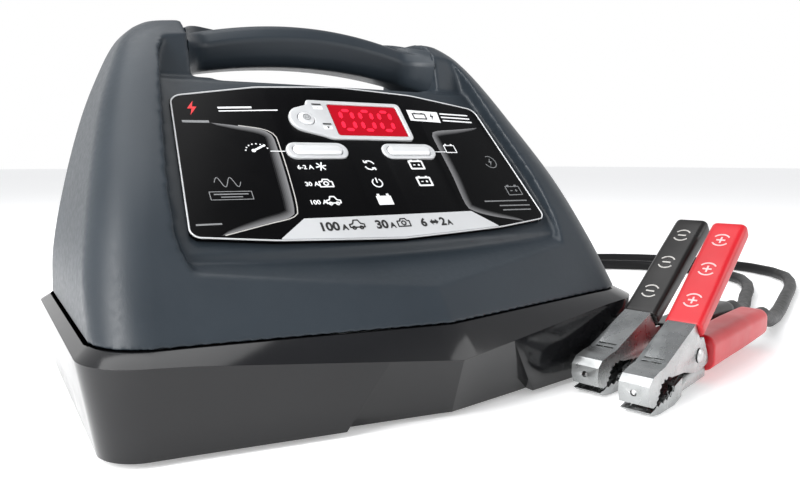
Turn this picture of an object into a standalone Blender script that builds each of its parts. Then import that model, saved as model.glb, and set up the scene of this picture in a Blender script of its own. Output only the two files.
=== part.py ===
"""Engine-start battery charger with two spring clamps, as separate sub-parts.

Metres, +Z up. The origin is the middle of the standing surface under the charger, its front faces -Y.
"""

import bmesh
import bpy
from math import atan2, cos, pi, radians, sin, sqrt
from mathutils import Matrix, Vector

# ---------------------------------------------------------------- driving dimensions
GAP = 0.0003  # clearance between touching pieces
WALL = 0.003  # moulded wall thickness
SEAM_Z = 0.0444  # joint between the two housings
BASE_Z = 0.0025  # underside of the lower housing, above the feet

# Stations of the upper housing: height, half width, centre of the front, back, corner radius, front bow.
UPPER_STATIONS = [
    (0.0446, 0.1485, -0.1055, 0.1055, 0.0275, 0.0225),
    (0.0700, 0.1470, -0.0838, 0.1045, 0.0275, 0.0185),
    (0.1070, 0.1395, -0.0524, 0.1025, 0.0270, 0.0130),
    (0.1440, 0.1290, -0.0209, 0.0995, 0.0260, 0.0130),
    (0.1700, 0.1185, 0.0012, 0.0965, 0.0240, 0.0125),
    (0.1860, 0.1105, 0.0160, 0.0935, 0.0220, 0.0120),
    (0.1960, 0.1010, 0.0290, 0.0890, 0.0190, 0.0100),
    (0.2015, 0.0880, 0.0400, 0.0830, 0.0150, 0.0060),
]

# Control panel plane: its lower edge at the middle, and its slope (run back per rise).
PANEL_FOOT = Vector((0.0, -0.0638, 0.0799))
PANEL_SLOPE = 0.925
PANEL_UP = Vector((0.0, PANEL_SLOPE, 1.0)).normalized()
PANEL_OUT = Vector((0.0, -1.0, PANEL_SLOPE)).normalized()
PANEL_BOW = 0.5  # the panel's edges stand back by PANEL_BOW * x**2
PANEL_T = 0.0022

DISPLAY_C = (0.0104, 0.0834)  # x and height up the panel
DISPLAY_W, DISPLAY_H = 0.0445, 0.0238
LOBE_C = (-0.0281, 0.0832)
LOBE_R = 0.0095
DISPLAY_BUTTON_R = 0.0046
LONG_BUTTON_X = 0.0283
LONG_BUTTON_V = 0.0600
LONG_BEZEL_W, LONG_BEZEL_H = 0.0352, 0.0112
LONG_BUTTON_W, LONG_BUTTON_H = 0.0282, 0.0064
BUTTON_TRAVEL = 0.0012

GRIP_HALF = 0.0795  # half the length of the handle's bar
GRIP_Y = 0.0640
STEP_X = 0.0460

LEAD_D = 0.010
RELIEF_END = 0.1490  # where the strain reliefs end and the bare leads begin
FAN_C = (0.058, 0.088)  # x and z of the fan's axis
FAN_SIDE = 0.060

# Each clamp: where its nose is on the floor, and which way it points.
CLAMPS = {
    "negative": (0.0786, -0.1161, radians(12.8)),
    "positive": (0.0760, -0.1487, radians(15.4)),
}
PIVOT = (0.0561, 0.0185)  # in a clamp's own length and height
CLAMP_W = 0.0150
GRIP_W = 0.0195
SHEET = 0.0014

GREY_PLASTIC = (0.075, 0.095, 0.115)
BLACK_PLASTIC = (0.012, 0.012, 0.014)
STEEL = (0.62, 0.63, 0.63)


# ---------------------------------------------------------------- helpers
def clear_scene():
    for thing in list(bpy.data.objects):
        bpy.data.objects.remove(thing, do_unlink=True)


def material(name, colour, roughness=0.5, metallic=0.0):
    made = bpy.data.materials.new(name)
    made.use_nodes = True
    shader = made.node_tree.nodes["Principled BSDF"]
    shader.inputs["Base Color"].default_value = (*colour, 1.0)
    shader.inputs["Roughness"].default_value = roughness
    shader.inputs["Metallic"].default_value = metallic
    return made


def finish(mesh_maker, name, look=None, smooth=False):
    """Turn a bmesh into a named object, with its faces pointing out."""
    bmesh.ops.recalc_face_normals(mesh_maker, faces=mesh_maker.faces)
    mesh = bpy.data.meshes.new(name)
    mesh_maker.to_mesh(mesh)
    mesh_maker.free()
    made = bpy.data.objects.new(name, mesh)
    bpy.context.scene.collection.objects.link(made)
    if look is not None:
        mesh.materials.append(look)
    if smooth:
        mesh.shade_smooth()
        mesh.set_sharp_from_angle(angle=radians(35))
    return made


def loft(name, rings, look=None, smooth=False):
    """Closed body through rings of points; every ring has the same count."""
    bm = bmesh.new()
    made = [[bm.verts.new(point) for point in ring] for ring in rings]
    count = len(made[0])
    for lower, upper in zip(made, made[1:]):
        for i in range(count):
            j = (i + 1) % count
            bm.faces.new((lower[i], lower[j], upper[j], upper[i]))
    bm.faces.new(list(reversed(made[0])))
    bm.faces.new(made[-1])
    return finish(bm, name, look, smooth)


def prism(name, outline, place, depth, look=None, smooth=False):
    """Extrude an outline of (a, b) points; place(a, b, c) gives world points, c runs over depth."""
    rings = [[place(a, b, c) for a, b in outline] for c in depth]
    return loft(name, rings, look, smooth)


def box(name, low, high, look=None):
    low, high = Vector(low), Vector(high)
    outline = [(low.x, low.y), (high.x, low.y), (high.x, high.y), (low.x, high.y)]
    return prism(name, outline, lambda a, b, c: (a, b, c), (low.z, high.z), look)


def circle(radius, count, cx=0.0, cy=0.0):
    return [(cx + radius * cos(2 * pi * i / count), cy + radius * sin(2 * pi * i / count)) for i in range(count)]


def round_rect(width, height, radius, steps=3, cx=0.0, cy=0.0):
    points = []
    corners = [(1, -1, -90), (1, 1, 0), (-1, 1, 90), (-1, -1, 180)]
    for sx, sy, start in corners:
        x, y = cx + sx * (width / 2 - radius), cy + sy * (height / 2 - radius)
        for i in range(steps + 1):
            turn = radians(start + 90 * i / steps)
            points.append((x + radius * cos(turn), y + radius * sin(turn)))
    return points


def turned(name, profile, centre, axis, count=20, look=None, smooth=True):
    """Solid of revolution: profile is (distance along axis, radius) pairs, from the first face to the last."""
    axis = Vector(axis).normalized()
    side = axis.orthogonal().normalized()
    other = axis.cross(side)
    centre = Vector(centre)
    rings = []
    for along, radius in profile:
        ring = [centre + axis * along + side * a + other * b for a, b in circle(radius, count)]
        rings.append(ring)
    return loft(name, rings, look, smooth)


def combine(target, other, operation="DIFFERENCE"):
    """Boolean that is applied at once; the other body is used up."""
    change = target.modifiers.new("combine", "BOOLEAN")
    change.operation = operation
    change.solver = "EXACT"
    change.object = other
    bpy.context.view_layer.update()
    evaluated = target.evaluated_get(bpy.context.evaluated_depsgraph_get())
    mesh = bpy.data.meshes.new_from_object(evaluated)
    target.modifiers.remove(change)
    target.data = mesh
    bpy.data.objects.remove(other, do_unlink=True)
    return target


def cut(target, *others):
    for other in others:
        combine(target, other, "DIFFERENCE")
    return target


def add(target, *others):
    for other in others:
        combine(target, other, "UNION")
    return target


def on_panel(x, up, out=0.0):
    """World point at x, a height up the panel, and a distance out of its face."""
    point = PANEL_FOOT + PANEL_UP * up + PANEL_OUT * out
    return Vector((x, point.y + PANEL_BOW * x * x, point.z))


def flat_on_panel(cx):
    """Like on_panel, but flat: for small pieces around x = cx."""
    back = PANEL_BOW * cx * cx

    def place(x, up, out):
        point = PANEL_FOOT + PANEL_UP * up + PANEL_OUT * out
        return Vector((x, point.y + back, point.z))

    return place


# ---------------------------------------------------------------- housings
def plan_ring(half, front, back, radius, bow, height, arc_steps=5, side_steps=2):
    """Plan outline, counter-clockwise from the middle of the front; height is a function of x and y."""
    points = [(0.0, front)]
    reach = half - radius
    for i in range(1, side_steps + 1):
        x = reach * i / (side_steps + 1)
        points.append((x, front + bow * x / reach))
    corners = [
        (reach, front + bow + radius, -78),
        (reach, back - radius, 0),
        (-reach, back - radius, 90),
        (-reach, front + bow + radius, 180),
    ]
    for number, (cx, cy, start) in enumerate(corners):
        end = start + 90
        if number == 0:
            end = 0
        if number == 3:
            end = 258
        for i in range(arc_steps + 1):
            turn = radians(start + (end - start) * i / arc_steps)
            points.append((cx + radius * cos(turn), cy + radius * sin(turn)))
    for i in range(side_steps, 0, -1):
        x = reach * i / (side_steps + 1)
        points.append((-x, front + bow * x / reach))
    return [(x, y, height(x, y)) for x, y in points]


def upper_form(name, inset, bottom, top, look=None):
    """The upper housing's outer form, pulled in by a wall thickness."""
    rings = []
    for z, half, front, back, radius, bow in UPPER_STATIONS:
        if z > top:
            break
        level = bottom if z == UPPER_STATIONS[0][0] else z
        ring = plan_ring(
            half - inset, front + 1.3 * inset, back - inset, radius - 0.7 * inset, bow, lambda x, y, h=level: h
        )
        rings.append(ring)
    return loft(name, rings, look, smooth=True)


# Places across the panel where the panel and its seat share a section.
PANEL_STATIONS = [0.0, 0.025, 0.050, 0.066, 0.080, 0.0935, 0.0968, 0.1015, 0.1040]


def both_sides(stations):
    return [-x for x in reversed(stations[1:])] + stations


def recess_profile(x, grow):
    """Side profile of what is taken out in front: floor, lip, panel seat and the wall under the brow."""
    back = PANEL_BOW * x * x
    lift = 0.3 * x * x
    seat_foot = PANEL_FOOT - PANEL_OUT * (PANEL_T + GAP + grow)
    seat_head = seat_foot + PANEL_UP * (0.1135 + 0.2 * grow)
    return [
        (-0.150, 0.0378 + lift - grow),
        (-0.0620 + back, 0.0714 + lift - grow),
        (seat_foot.y + back, seat_foot.z - 0.001),
        (seat_head.y + back, seat_head.z),
        (0.0240 + grow, 0.1640 - grow),
        (0.0400 + grow, 0.2300),
        (-0.150, 0.2300),
    ]


RECESS_SIDE = [
    (0.1000, 0.0600), (0.1065, 0.0715), (0.1108, 0.0840), (0.1092, 0.1100),
    (0.1022, 0.1500), (0.0970, 0.1780), (0.0900, 0.1905), (0.0800, 0.1960),
]


def recess_cutter(grow):
    xs = both_sides(PANEL_STATIONS + [0.13])
    rings = [[(x, y, z) for y, z in recess_profile(x, grow)] for x in xs]
    cutter = loft("recess_cut", rings)
    right = [(x + grow, z) for x, z in RECESS_SIDE]
    outline = [(0.0, 0.030)] + right + [(-x, z) for x, z in reversed(right)]
    window = prism("recess_window", outline, lambda a, b, c: (a, c, b), (-0.16, 0.14))
    return combine(cutter, window, "INTERSECT")


def handle_cutters(grow):
    """The hand space: a box for the grip, and below it the sloping scoop behind the panel."""
    reach = GRIP_HALF + GAP + grow
    over = box("grip_space", (-reach, 0.012, 0.1640), (reach, 0.130, 0.230))
    floor = [(0.012, 0.1640 - grow), (0.130, 0.1385 - grow), (0.130, 0.1800), (0.012, 0.1800)]
    scoop = prism("scoop", floor, lambda a, b, c: (c, a, b), (-0.0700 - grow, 0.0700 + grow))
    return over, scoop


def make_upper_housing(look):
    shell = upper_form("upper_housing", 0.0, UPPER_STATIONS[0][0], 1.0, look)
    cut(shell, recess_cutter(0.0), *handle_cutters(0.0))
    hollow = upper_form("upper_hollow", WALL, 0.040, 0.187)
    cut(hollow, recess_cutter(WALL), *handle_cutters(WALL))
    cut(shell, hollow)
    place = flat_on_panel(0.0)
    window = prism("panel_window", round_rect(0.104, 0.060, 0.004, 1, 0.0, 0.0755), place, (-0.030, 0.010))
    cut(shell, window)
    fan_hole = prism("fan_hole", circle(0.0280, 24, *FAN_C), lambda a, b, c: (a, c, b), (0.080, 0.120))
    cut(shell, fan_hole)
    for x, y, top in SCREW_POSTS:
        post = turned("post", [(0.0, 0.0045), (top - 0.0448, 0.0045)], (x, y, 0.0448), (0, 0, 1), 12)
        add(shell, post)
        hole = turned("hole", [(0.0, 0.0021), (0.0126, 0.0021)], (x, y, 0.0440), (0, 0, 1), 12)
        cut(shell, hole)
    return shell


SCREW_POSTS = [
    (-0.110, -0.0640, 0.0640),
    (0.110, -0.0640, 0.0640),
    (-0.110, 0.0975, 0.0740),
    (0.110, 0.0975, 0.0740),
]

# Lower housing stations: half width, front, back, radius, bow and height (crease set apart).
BASE_BOTTOM = (0.1490, -0.1105, 0.0985, 0.0200, 0.0205)
BASE_CREASE = (0.1545, -0.1147, 0.1115, 0.0310, 0.0225)
BASE_TOP = (0.1485, -0.1055, 0.1055, 0.0275, 0.0225)
CREASE_LOW, CREASE_HIGH = 0.0295, 0.0400


def crease_height(x, y):
    if y > 0.0:
        return CREASE_HIGH
    return CREASE_LOW + (CREASE_HIGH - CREASE_LOW) * min(abs(x) / 0.125, 1.0)


def base_ring(station, inset, height):
    half, front, back, radius, bow = station
    return plan_ring(half - inset, front + inset, back - inset, radius - 0.7 * inset, bow, height)


def front_at(station, x):
    half, front, back, radius, bow = station
    return front + bow * abs(x) / (half - radius)


def wedge_cutter():
    """The shallow wedge taken out of the middle of the base's front, deeper towards the floor."""
    deep, top_x, low_x, low_z = 0.0062, 0.0350, 0.0570, -0.004
    slope = (BASE_CREASE[1] - BASE_BOTTOM[1]) / (CREASE_LOW - BASE_Z)
    columns = []
    for side in (-1, 0, 1):
        tx, lx = side * top_x, side * low_x
        top_y, top_z = front_at(BASE_CREASE, tx) + 0.0001, crease_height(tx, -1) - 0.0002
        low_y = front_at(BASE_BOTTOM, lx) + deep + slope * (low_z - BASE_Z)
        columns.append([(tx, top_y - 0.03, top_z), (tx, top_y, top_z), (lx, low_y, low_z), (lx, low_y - 0.03, low_z)])
    return loft("wedge_cut", columns)


def make_lower_housing(look):
    rings = [
        base_ring(BASE_BOTTOM, 0.0015, lambda x, y: BASE_Z),
        base_ring(BASE_BOTTOM, 0.0, lambda x, y: BASE_Z + 0.0015),
        base_ring(BASE_CREASE, 0.0, crease_height),
        base_ring(BASE_TOP, 0.0, lambda x, y: SEAM_Z - 0.0004),
    ]
    tub = loft("lower_housing", rings, look, smooth=True)
    hollow = []
    for station, height in ((BASE_BOTTOM, BASE_Z + WALL), (BASE_CREASE, CREASE_HIGH), (BASE_TOP, 0.060)):
        half, front, back, radius, bow = station
        inner = (half - 0.004, front + 0.0105, back - 0.004, radius - 0.003, bow)
        hollow.append(base_ring(inner, 0.0, lambda x, y, h=height: h))
    cut(tub, loft("base_hollow", hollow), wedge_cutter())
    add(tub, box("rear_pad", (-0.1000, PAD_IN, 0.0090), (0.1010, PAD_OUT, 0.0360)))
    for x, y, _ in SCREW_POSTS:
        post = turned("post", [(0, 0.0058), (SEAM_Z - 0.0004 - 0.004, 0.0058)], (x, y, 0.004), (0, 0, 1), 14)
        add(tub, post)
        sink = turned("sink", [(0, 0.0041), (0.033, 0.0041)], (x, y, 0.0), (0, 0, 1), 12)
        hole = turned("hole", [(0, 0.0021), (0.03, 0.0021)], (x, y, 0.020), (0, 0, 1), 12)
        cut(tub, sink, hole)
    for x, _ in LEAD_EXITS:
        hole = turned("exit", [(0, 0.0073), (0.05, 0.0073)], (x, 0.080, EXIT_Z), (0, 1, 0), 16)
        cut(tub, hole)
    inlet = turned("inlet", [(0, 0.0078), (0.05, 0.0078)], (INLET_X, 0.080, EXIT_Z), (0, 1, 0), 16)
    breaker = turned("breaker", [(0, 0.0068), (0.05, 0.0068)], (BREAKER_X, 0.080, EXIT_Z), (0, 1, 0), 16)
    return cut(tub, inlet, breaker)


def make_feet(look):
    corners = (("front_left", -1, -1), ("front_right", 1, -1), ("rear_left", -1, 1), ("rear_right", 1, 1))
    for name, sx, sy in corners:
        cy = -0.064 if sy < 0 else 0.078
        outline = round_rect(0.030, 0.022, 0.005, 2, sx * 0.1195, cy)
        prism(f"foot_{name}", outline, lambda a, b, c: (a, b, c), (0.0, BASE_Z - GAP), look)


def make_screws(look):
    names = ("front_left", "front_right", "rear_left", "rear_right")
    for name, (x, y, _) in zip(names, SCREW_POSTS):
        profile = [(0, 0.0034), (0.0024, 0.0034), (0.0024, 0.0017), (0.0240, 0.0017), (0.0260, 0.0006)]
        turned(f"screw_{name}", profile, (x, y, 0.0303), (0, 0, 1), 10, look)


# ---------------------------------------------------------------- handle grip


def grip_ring(x):
    """Rounded section of the grip bar at x; it arches, and is fuller outside the two steps."""
    full = 0.0 if abs(x) < STEP_X + 0.0001 else 0.0014
    arch = 0.0062 * (x / GRIP_HALF) ** 2
    top, bottom = 0.2035 - arch + full, 0.1765 - 1.4 * arch - full
    deep = 0.0375 + 1.6 * full
    points = []
    for i in range(16):
        turn = 2 * pi * i / 16
        c, s = cos(turn), sin(turn)
        y = GRIP_Y + deep / 2 * (abs(c) ** 0.72) * (1 if c > 0 else -1)
        z = (top + bottom) / 2 + (top - bottom) / 2 * (abs(s) ** 0.80) * (1 if s > 0 else -1)
        points.append((x, y, z))
    return points


def make_handle_grip(look):
    xs = both_sides([0.0, 0.0230, STEP_X, STEP_X + 0.0008, 0.0625, GRIP_HALF])
    return loft("handle_grip", [grip_ring(x) for x in xs], look, smooth=True)


# ---------------------------------------------------------------- control panel
def between(table, x):
    """Straight-line reading of a table of (x, value) pairs."""
    for (x0, v0), (x1, v1) in zip(table, table[1:]):
        if x <= x1:
            return v0 + (v1 - v0) * (x - x0) / (x1 - x0)
    return table[-1][1]


def bowed_plate(name, stations, low, high, out, look):
    """Plate in strips across the bow; low and high are its edges' tables of (x, height up the panel)."""
    rings = []
    for x in both_sides(stations):
        a, b = between(low, abs(x)), between(high, abs(x))
        corners = ((a, out[0]), (b, out[0]), (b, out[1]), (a, out[1]))
        rings.append([on_panel(x, up, stand) for up, stand in corners])
    return loft(name, rings, look)


PANEL_LOW = [(0.0, 0.0), (0.066, 0.0030), (0.1015, 0.0068), (0.1040, 0.0100)]
PANEL_HIGH = [(0.0, 0.1110), (0.050, 0.1075), (0.0935, 0.0985), (0.0968, 0.0950), (0.1040, 0.0105)]


def make_control_panel(look):
    """Fascia plate that follows the bow, with holes for the bezels."""
    plate = bowed_plate("control_panel", PANEL_STATIONS, PANEL_LOW, PANEL_HIGH, (-PANEL_T, 0.0), look)
    place = flat_on_panel(0.0)
    hole = prism("hole", display_outline(GAP), place, (-0.006, 0.004))
    cut(plate, hole)
    for side in (-1, 1):
        wide, high = LONG_BEZEL_W + 2 * GAP, LONG_BEZEL_H + 2 * GAP
        outline = round_rect(wide, high, 0.0055, 4, side * LONG_BUTTON_X, LONG_BUTTON_V)
        cut(plate, prism("hole", outline, flat_on_panel(LONG_BUTTON_X), (-0.006, 0.004)))
    return plate


def make_rate_strip(look):
    low = [(0.0, 0.0007), (0.0640, 0.0036)]
    high = [(0.0, 0.0150), (0.0500, 0.0150), (0.0640, 0.0040)]
    stations = [0.0, 0.025, 0.050, 0.0640]
    return bowed_plate("rate_strip", stations, low, high, (GAP, GAP + 0.0004), look)


def display_outline(grow=0.0):
    """Display frame: a slightly slanted box with a round lobe on its left for the button."""
    cx, cv = DISPLAY_C
    half_h = 0.0148 + grow
    right, left = 0.0362 + grow, -0.0250 - grow
    points = [(right - 0.004, cv - half_h), (right, cv - half_h + 0.004), (right - 0.0010, cv + half_h - 0.003)]
    points += [(right - 0.004, cv + half_h), (left + 0.004, cv + half_h), (left, cv + half_h - 0.003)]
    for i in range(9):
        turn = radians(118 + 124 * i / 8)
        points.append((LOBE_C[0] + (LOBE_R + grow) * cos(turn), LOBE_C[1] + (LOBE_R + grow) * sin(turn)))
    points += [(left + 0.0040, cv - half_h + 0.004), (left + 0.0075, cv - half_h)]
    return points


def make_display(bezel_look, lens_look, led_look, button_look):
    place = flat_on_panel(0.0)
    cx, cv = DISPLAY_C
    bezel = prism("display_bezel", display_outline(), place, (-0.0030, 0.0011), bezel_look)
    opening = round_rect(DISPLAY_W + 2 * GAP, DISPLAY_H + 2 * GAP, 0.001, 1, cx, cv)
    window = prism("hole", opening, place, (-0.01, 0.01))
    button_hole = prism("hole", circle(DISPLAY_BUTTON_R + GAP, 20, *LOBE_C), place, (-0.01, 0.01))
    cut(bezel, window, button_hole)
    pane = round_rect(DISPLAY_W, DISPLAY_H, 0.001, 1, cx, cv)
    prism("display_lens", pane, place, (-0.0028, 0.0006), lens_look)
    prism("led_display", round_rect(0.0376, 0.0190, 0.0005, 1, cx, cv), place, (-0.0112, -0.0034), led_look)
    button = prism("display_button", circle(DISPLAY_BUTTON_R, 20, *LOBE_C), place, (-0.0040, 0.0022), button_look)
    add(button, prism("flange", circle(DISPLAY_BUTTON_R + 0.0015, 16, *LOBE_C), place, (-0.0050, -0.0035)))
    add(button, prism("stem", circle(0.0016, 10, *LOBE_C), place, (-0.0100, -0.0045)))


def make_long_button(name, side, bezel_look, button_look):
    cx = side * LONG_BUTTON_X
    place = flat_on_panel(LONG_BUTTON_X)
    bezel_outline = round_rect(LONG_BEZEL_W, LONG_BEZEL_H, 0.0055, 4, cx, LONG_BUTTON_V)
    bezel = prism(f"{name}_bezel", bezel_outline, place, (-0.0030, 0.0010), bezel_look)
    hole_outline = round_rect(LONG_BUTTON_W + 2 * GAP, LONG_BUTTON_H + 2 * GAP, 0.0033, 4, cx, LONG_BUTTON_V)
    cut(bezel, prism("hole", hole_outline, place, (-0.01, 0.01)))
    outline = round_rect(LONG_BUTTON_W, LONG_BUTTON_H, 0.0031, 4, cx, LONG_BUTTON_V)
    button = prism(name, outline, place, (-0.0045, 0.0024), button_look)
    flange = round_rect(LONG_BUTTON_W + 0.003, LONG_BUTTON_H + 0.003, 0.004, 2, cx, LONG_BUTTON_V)
    add(button, prism("flange", flange, place, (-0.0055, -0.0040)))
    add(button, prism("stem", circle(0.0016, 10, cx, LONG_BUTTON_V), place, (-0.0100, -0.0050)))


def make_control_board(look):
    place = flat_on_panel(0.0)
    return prism("control_board", round_rect(0.098, 0.054, 0.002, 1, 0.0, 0.0755), place, (-0.0133, -0.0117), look)


# ---------------------------------------------------------------- power parts inside
EXIT_Z = 0.0225
LEAD_EXITS = [(0.088, "negative"), (0.062, "positive")]
INLET_X = -0.084
BREAKER_X = -0.052
PAD_IN, PAD_OUT = 0.0975, 0.1115  # flat faces of the rear pad that carries the fittings


def make_power_parts(look):
    """Transformer on the left of the tub, board with its parts on the right."""
    core = box("transformer_core", (-0.102, 0.000, 0.012), (-0.022, 0.046, 0.078), look["core"])
    limb_low, limb_high = -0.0753, -0.0487
    for low, high in ((-0.0887, limb_low), (limb_high, -0.0353)):
        cut(core, box("window", (low, -0.01, 0.025), (high, 0.06, 0.065)))
    bobbin = box("transformer_winding", (-0.0884, -0.0130, 0.0253), (-0.0356, 0.0590, 0.0647), look["bobbin"])
    cut(bobbin, box("limb", (limb_low - GAP, -GAP, 0.02), (limb_high + GAP, 0.046 + GAP, 0.07)))
    board = box("power_board", (0.004, -0.060, 0.0110), (0.118, 0.060, 0.0126), look["board"])
    for x, y, _ in SCREW_POSTS[1:2]:
        cut(board, box("corner", (x - 0.012, y - 0.01, 0.0), (x + 0.02, y + 0.012, 0.05)))
    sink = box("heat_sink", (0.050, -0.050, 0.0129), (0.110, -0.042, 0.0560), look["sink"])
    for i in range(7):
        x = 0.052 + i * 0.0088
        add(sink, box("fin", (x, -0.0425, 0.0140), (x + 0.0016, -0.0220, 0.0550)))
    box("rectifier", (0.012, -0.046, 0.0129), (0.040, -0.026, 0.0240), look["bobbin"])
    for name, x in (("capacitor_front", 0.020), ("capacitor_rear", 0.042)):
        can = [(0.0, 0.0085), (0.030, 0.0085), (0.031, 0.0075)]
        turned(name, can, (x, 0.004, 0.0129), (0, 0, 1), 16, look["can"])
    box("crank_relay", (0.070, -0.008, 0.0129), (0.100, 0.022, 0.0390), look["relay"])


def make_fan(look_frame, look_rotor, look_grille):
    x, z = FAN_C
    half = FAN_SIDE / 2
    back = 0.0978

    def place(a, b, c):
        return (a, c, b)

    outline = round_rect(FAN_SIDE, FAN_SIDE, 0.004, 1, x, z)
    frame = prism("fan_frame", outline, place, (back - 0.015, back), look_frame)
    cut(frame, prism("bore", circle(0.0278, 24, x, z), place, (back - 0.02, back + 0.02)))
    for turn in (0, 120, 240):
        a = radians(turn)
        bar = [(0.0, -0.0012), (0.029, -0.0012), (0.029, 0.0012), (0.0, 0.0012)]
        outline = [(x + p * cos(a) - q * sin(a), z + p * sin(a) + q * cos(a)) for p, q in bar]
        add(frame, prism("strut", outline, place, (back - 0.0148, back - 0.0128)))
    add(frame, prism("hub", circle(0.0100, 16, x, z), place, (back - 0.0149, back - 0.0126)))
    rotor = prism("fan_rotor", circle(0.0110, 21, x, z), place, (back - 0.0115, back - 0.0030), look_rotor)
    for i in range(7):
        a = radians(360 / 7 * i)
        blade = []
        for r, lean in ((0.0100, -0.30), (0.0262, -0.22), (0.0262, 0.22), (0.0100, 0.30)):
            blade.append((r, lean, back + (-0.0105 if lean < 0 else -0.0040)))
        near = [(x + r * cos(a + t), y, z + r * sin(a + t)) for r, t, y in blade]
        far = [(p[0], p[1] + 0.0012, p[2]) for p in near]
        add(rotor, loft("blade", [near, far]))

    def on_wall(a, b, c):
        return (a, 0.1045 + GAP - 0.054 * (b - 0.070) + c, b)

    grille = prism("fan_grille", round_rect(0.0620, 0.0620, 0.008, 3, x, z), on_wall, (0.0, 0.0018), look_grille)
    for ring in range(3):
        outer, inner = 0.0265 - ring * 0.0080, 0.0210 - ring * 0.0080
        for quarter in range(4):
            start, end = 90 * quarter + 9 + 3 * ring, 90 * quarter + 81 - 3 * ring
            turns = [radians(start + (end - start) * i / 4) for i in range(5)]
            slot = [(x + outer * cos(t), z + outer * sin(t)) for t in turns]
            slot += [(x + inner * cos(t), z + inner * sin(t)) for t in reversed(turns)]
            cut(grille, prism("slot", slot, on_wall, (-0.004, 0.006)))


def make_rear_fittings(look):
    inner = PAD_IN - GAP - 0.0030
    shank = PAD_OUT + GAP - inner
    for x, name in LEAD_EXITS:
        profile = [(0.0, 0.0092), (0.0030, 0.0092), (0.0030, 0.0070), (shank, 0.0070), (shank, 0.0092)]
        profile += [(shank + 0.0040, 0.0092), (shank + 0.0090, 0.0080), (RELIEF_END - inner, 0.0062)]
        turned(f"{name}_strain_relief", profile, (x, inner, EXIT_Z), (0, 1, 0), 16, look["rubber"])
    profile = [(0.0, 0.0095), (0.0030, 0.0095), (0.0030, 0.0074), (shank, 0.0074), (shank, 0.0110)]
    profile += [(shank + 0.0014, 0.0110), (0.1147 - inner, 0.0095)]
    gland = turned("mains_inlet_gland", profile, (INLET_X, inner, EXIT_Z), (0, 1, 0), 16, look["rubber"])
    cut(gland, turned("bore", [(0, 0.0040), (0.04, 0.0040)], (INLET_X, 0.090, EXIT_Z), (0, 1, 0), 16))
    profile = [(0.0, 0.0090), (0.0180, 0.0090), (0.0180, 0.0064), (0.0328, 0.0064)]
    profile += [(0.0328, 0.0042), (0.0355, 0.0040)]
    turned("thermal_breaker", profile, (BREAKER_X, PAD_IN - GAP - 0.0180, EXIT_Z), (0, 1, 0), 16, look["breaker"])


# ---------------------------------------------------------------- clamps
UPPER_JAW = [
    (0.0010, 0.0046), (-0.0035, 0.0062), (-0.0050, 0.0110), (-0.0047, 0.0160), (-0.0010, 0.0193),
    (0.0060, 0.0210), (0.0120, 0.0218), (0.0492, 0.0362), (0.0548, 0.0286), (0.0562, 0.0270),
    (0.0610, 0.0272), (0.0690, 0.0150), (0.0690, 0.0125), (0.0600, 0.0105), (0.0500, 0.0105),
    (0.0420, 0.0125), (0.0360, 0.0139), (0.0209, 0.0150), (0.0165, 0.0163), (0.0150, 0.0150),
    (0.0122, 0.0160), (0.0115, 0.0143), (0.0085, 0.0145), (0.0092, 0.0128), (0.0066, 0.0118),
    (0.0078, 0.0102), (0.0055, 0.0093), (0.0062, 0.0078), (0.0040, 0.0070), (0.0044, 0.0056),
]
UPPER_INNER = [
    (-0.0018, -0.0100), (-0.0018, 0.0062), (-0.0035, 0.0112), (-0.0032, 0.0153), (-0.0002, 0.0179),
    (0.0064, 0.0195), (0.0124, 0.0202), (0.0560, 0.0371), (0.0800, 0.0500), (0.0800, -0.0100),
]
LOWER_TEETH = [
    (0.0250, 0.0096), (0.0240, 0.0070), (0.0220, 0.0075), (0.0205, 0.0052), (0.0185, 0.0062),
    (0.0165, 0.0045), (0.0140, 0.0058), (0.0115, 0.0042), (0.0090, 0.0056), (0.0065, 0.0040),
    (0.0045, 0.0050), (0.0020, 0.0036), (-0.0025, 0.0030), (0.0000, 0.0012), (0.0080, 0.0000),
    (0.0250, 0.0000), (0.0330, 0.0020),
]
LOWER_HEAD = LOWER_TEETH + [(0.0340, 0.0022), (0.0340, 0.0118)]
LOWER_JAW = LOWER_TEETH + [
    (0.0410, 0.0032), (0.0570, 0.0036), (0.0700, 0.0042), (0.0700, 0.0215), (0.0640, 0.0255),
    (0.0560, 0.0260), (0.0500, 0.0235), (0.0420, 0.0175), (0.0340, 0.0120),
]
LOWER_INNER = [
    (0.0000, 0.0500), (0.0000, 0.0034), (0.0030, 0.0022), (0.0085, 0.0014), (0.0248, 0.0014),
    (0.0332, 0.0034), (0.0412, 0.0046), (0.0572, 0.0050), (0.0800, 0.0060), (0.0800, 0.0500),
]
# Grip centre lines: start and end in length and height, with the half height at each end.
UPPER_GRIP_LINE = ((0.0531, 0.0323), (0.1175, 0.0796), 0.0047, 0.0053)
LOWER_GRIP_LINE = ((0.0712, 0.0160), (0.1660, 0.0178), 0.0098, 0.0084)
UPPER_TONGUE = 0.0062  # half widths of the jaws' ends inside the grips
LOWER_TONGUE = 0.0049
TONGUE_T = 0.0018


def clamp_frame(name):
    x, y, turn = CLAMPS[name]
    return Matrix.Translation((x, y, 0.0)) @ Matrix.Rotation(turn, 4, "Z")


def channel(name, outline, inner, half, inner_half, place, look):
    """A bent sheet part: the outline across its width, less the channel between its two cheeks."""
    body = prism(name, outline, place, (-half, half), look)
    return cut(body, prism("channel", inner, place, (-inner_half, inner_half)))


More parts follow.
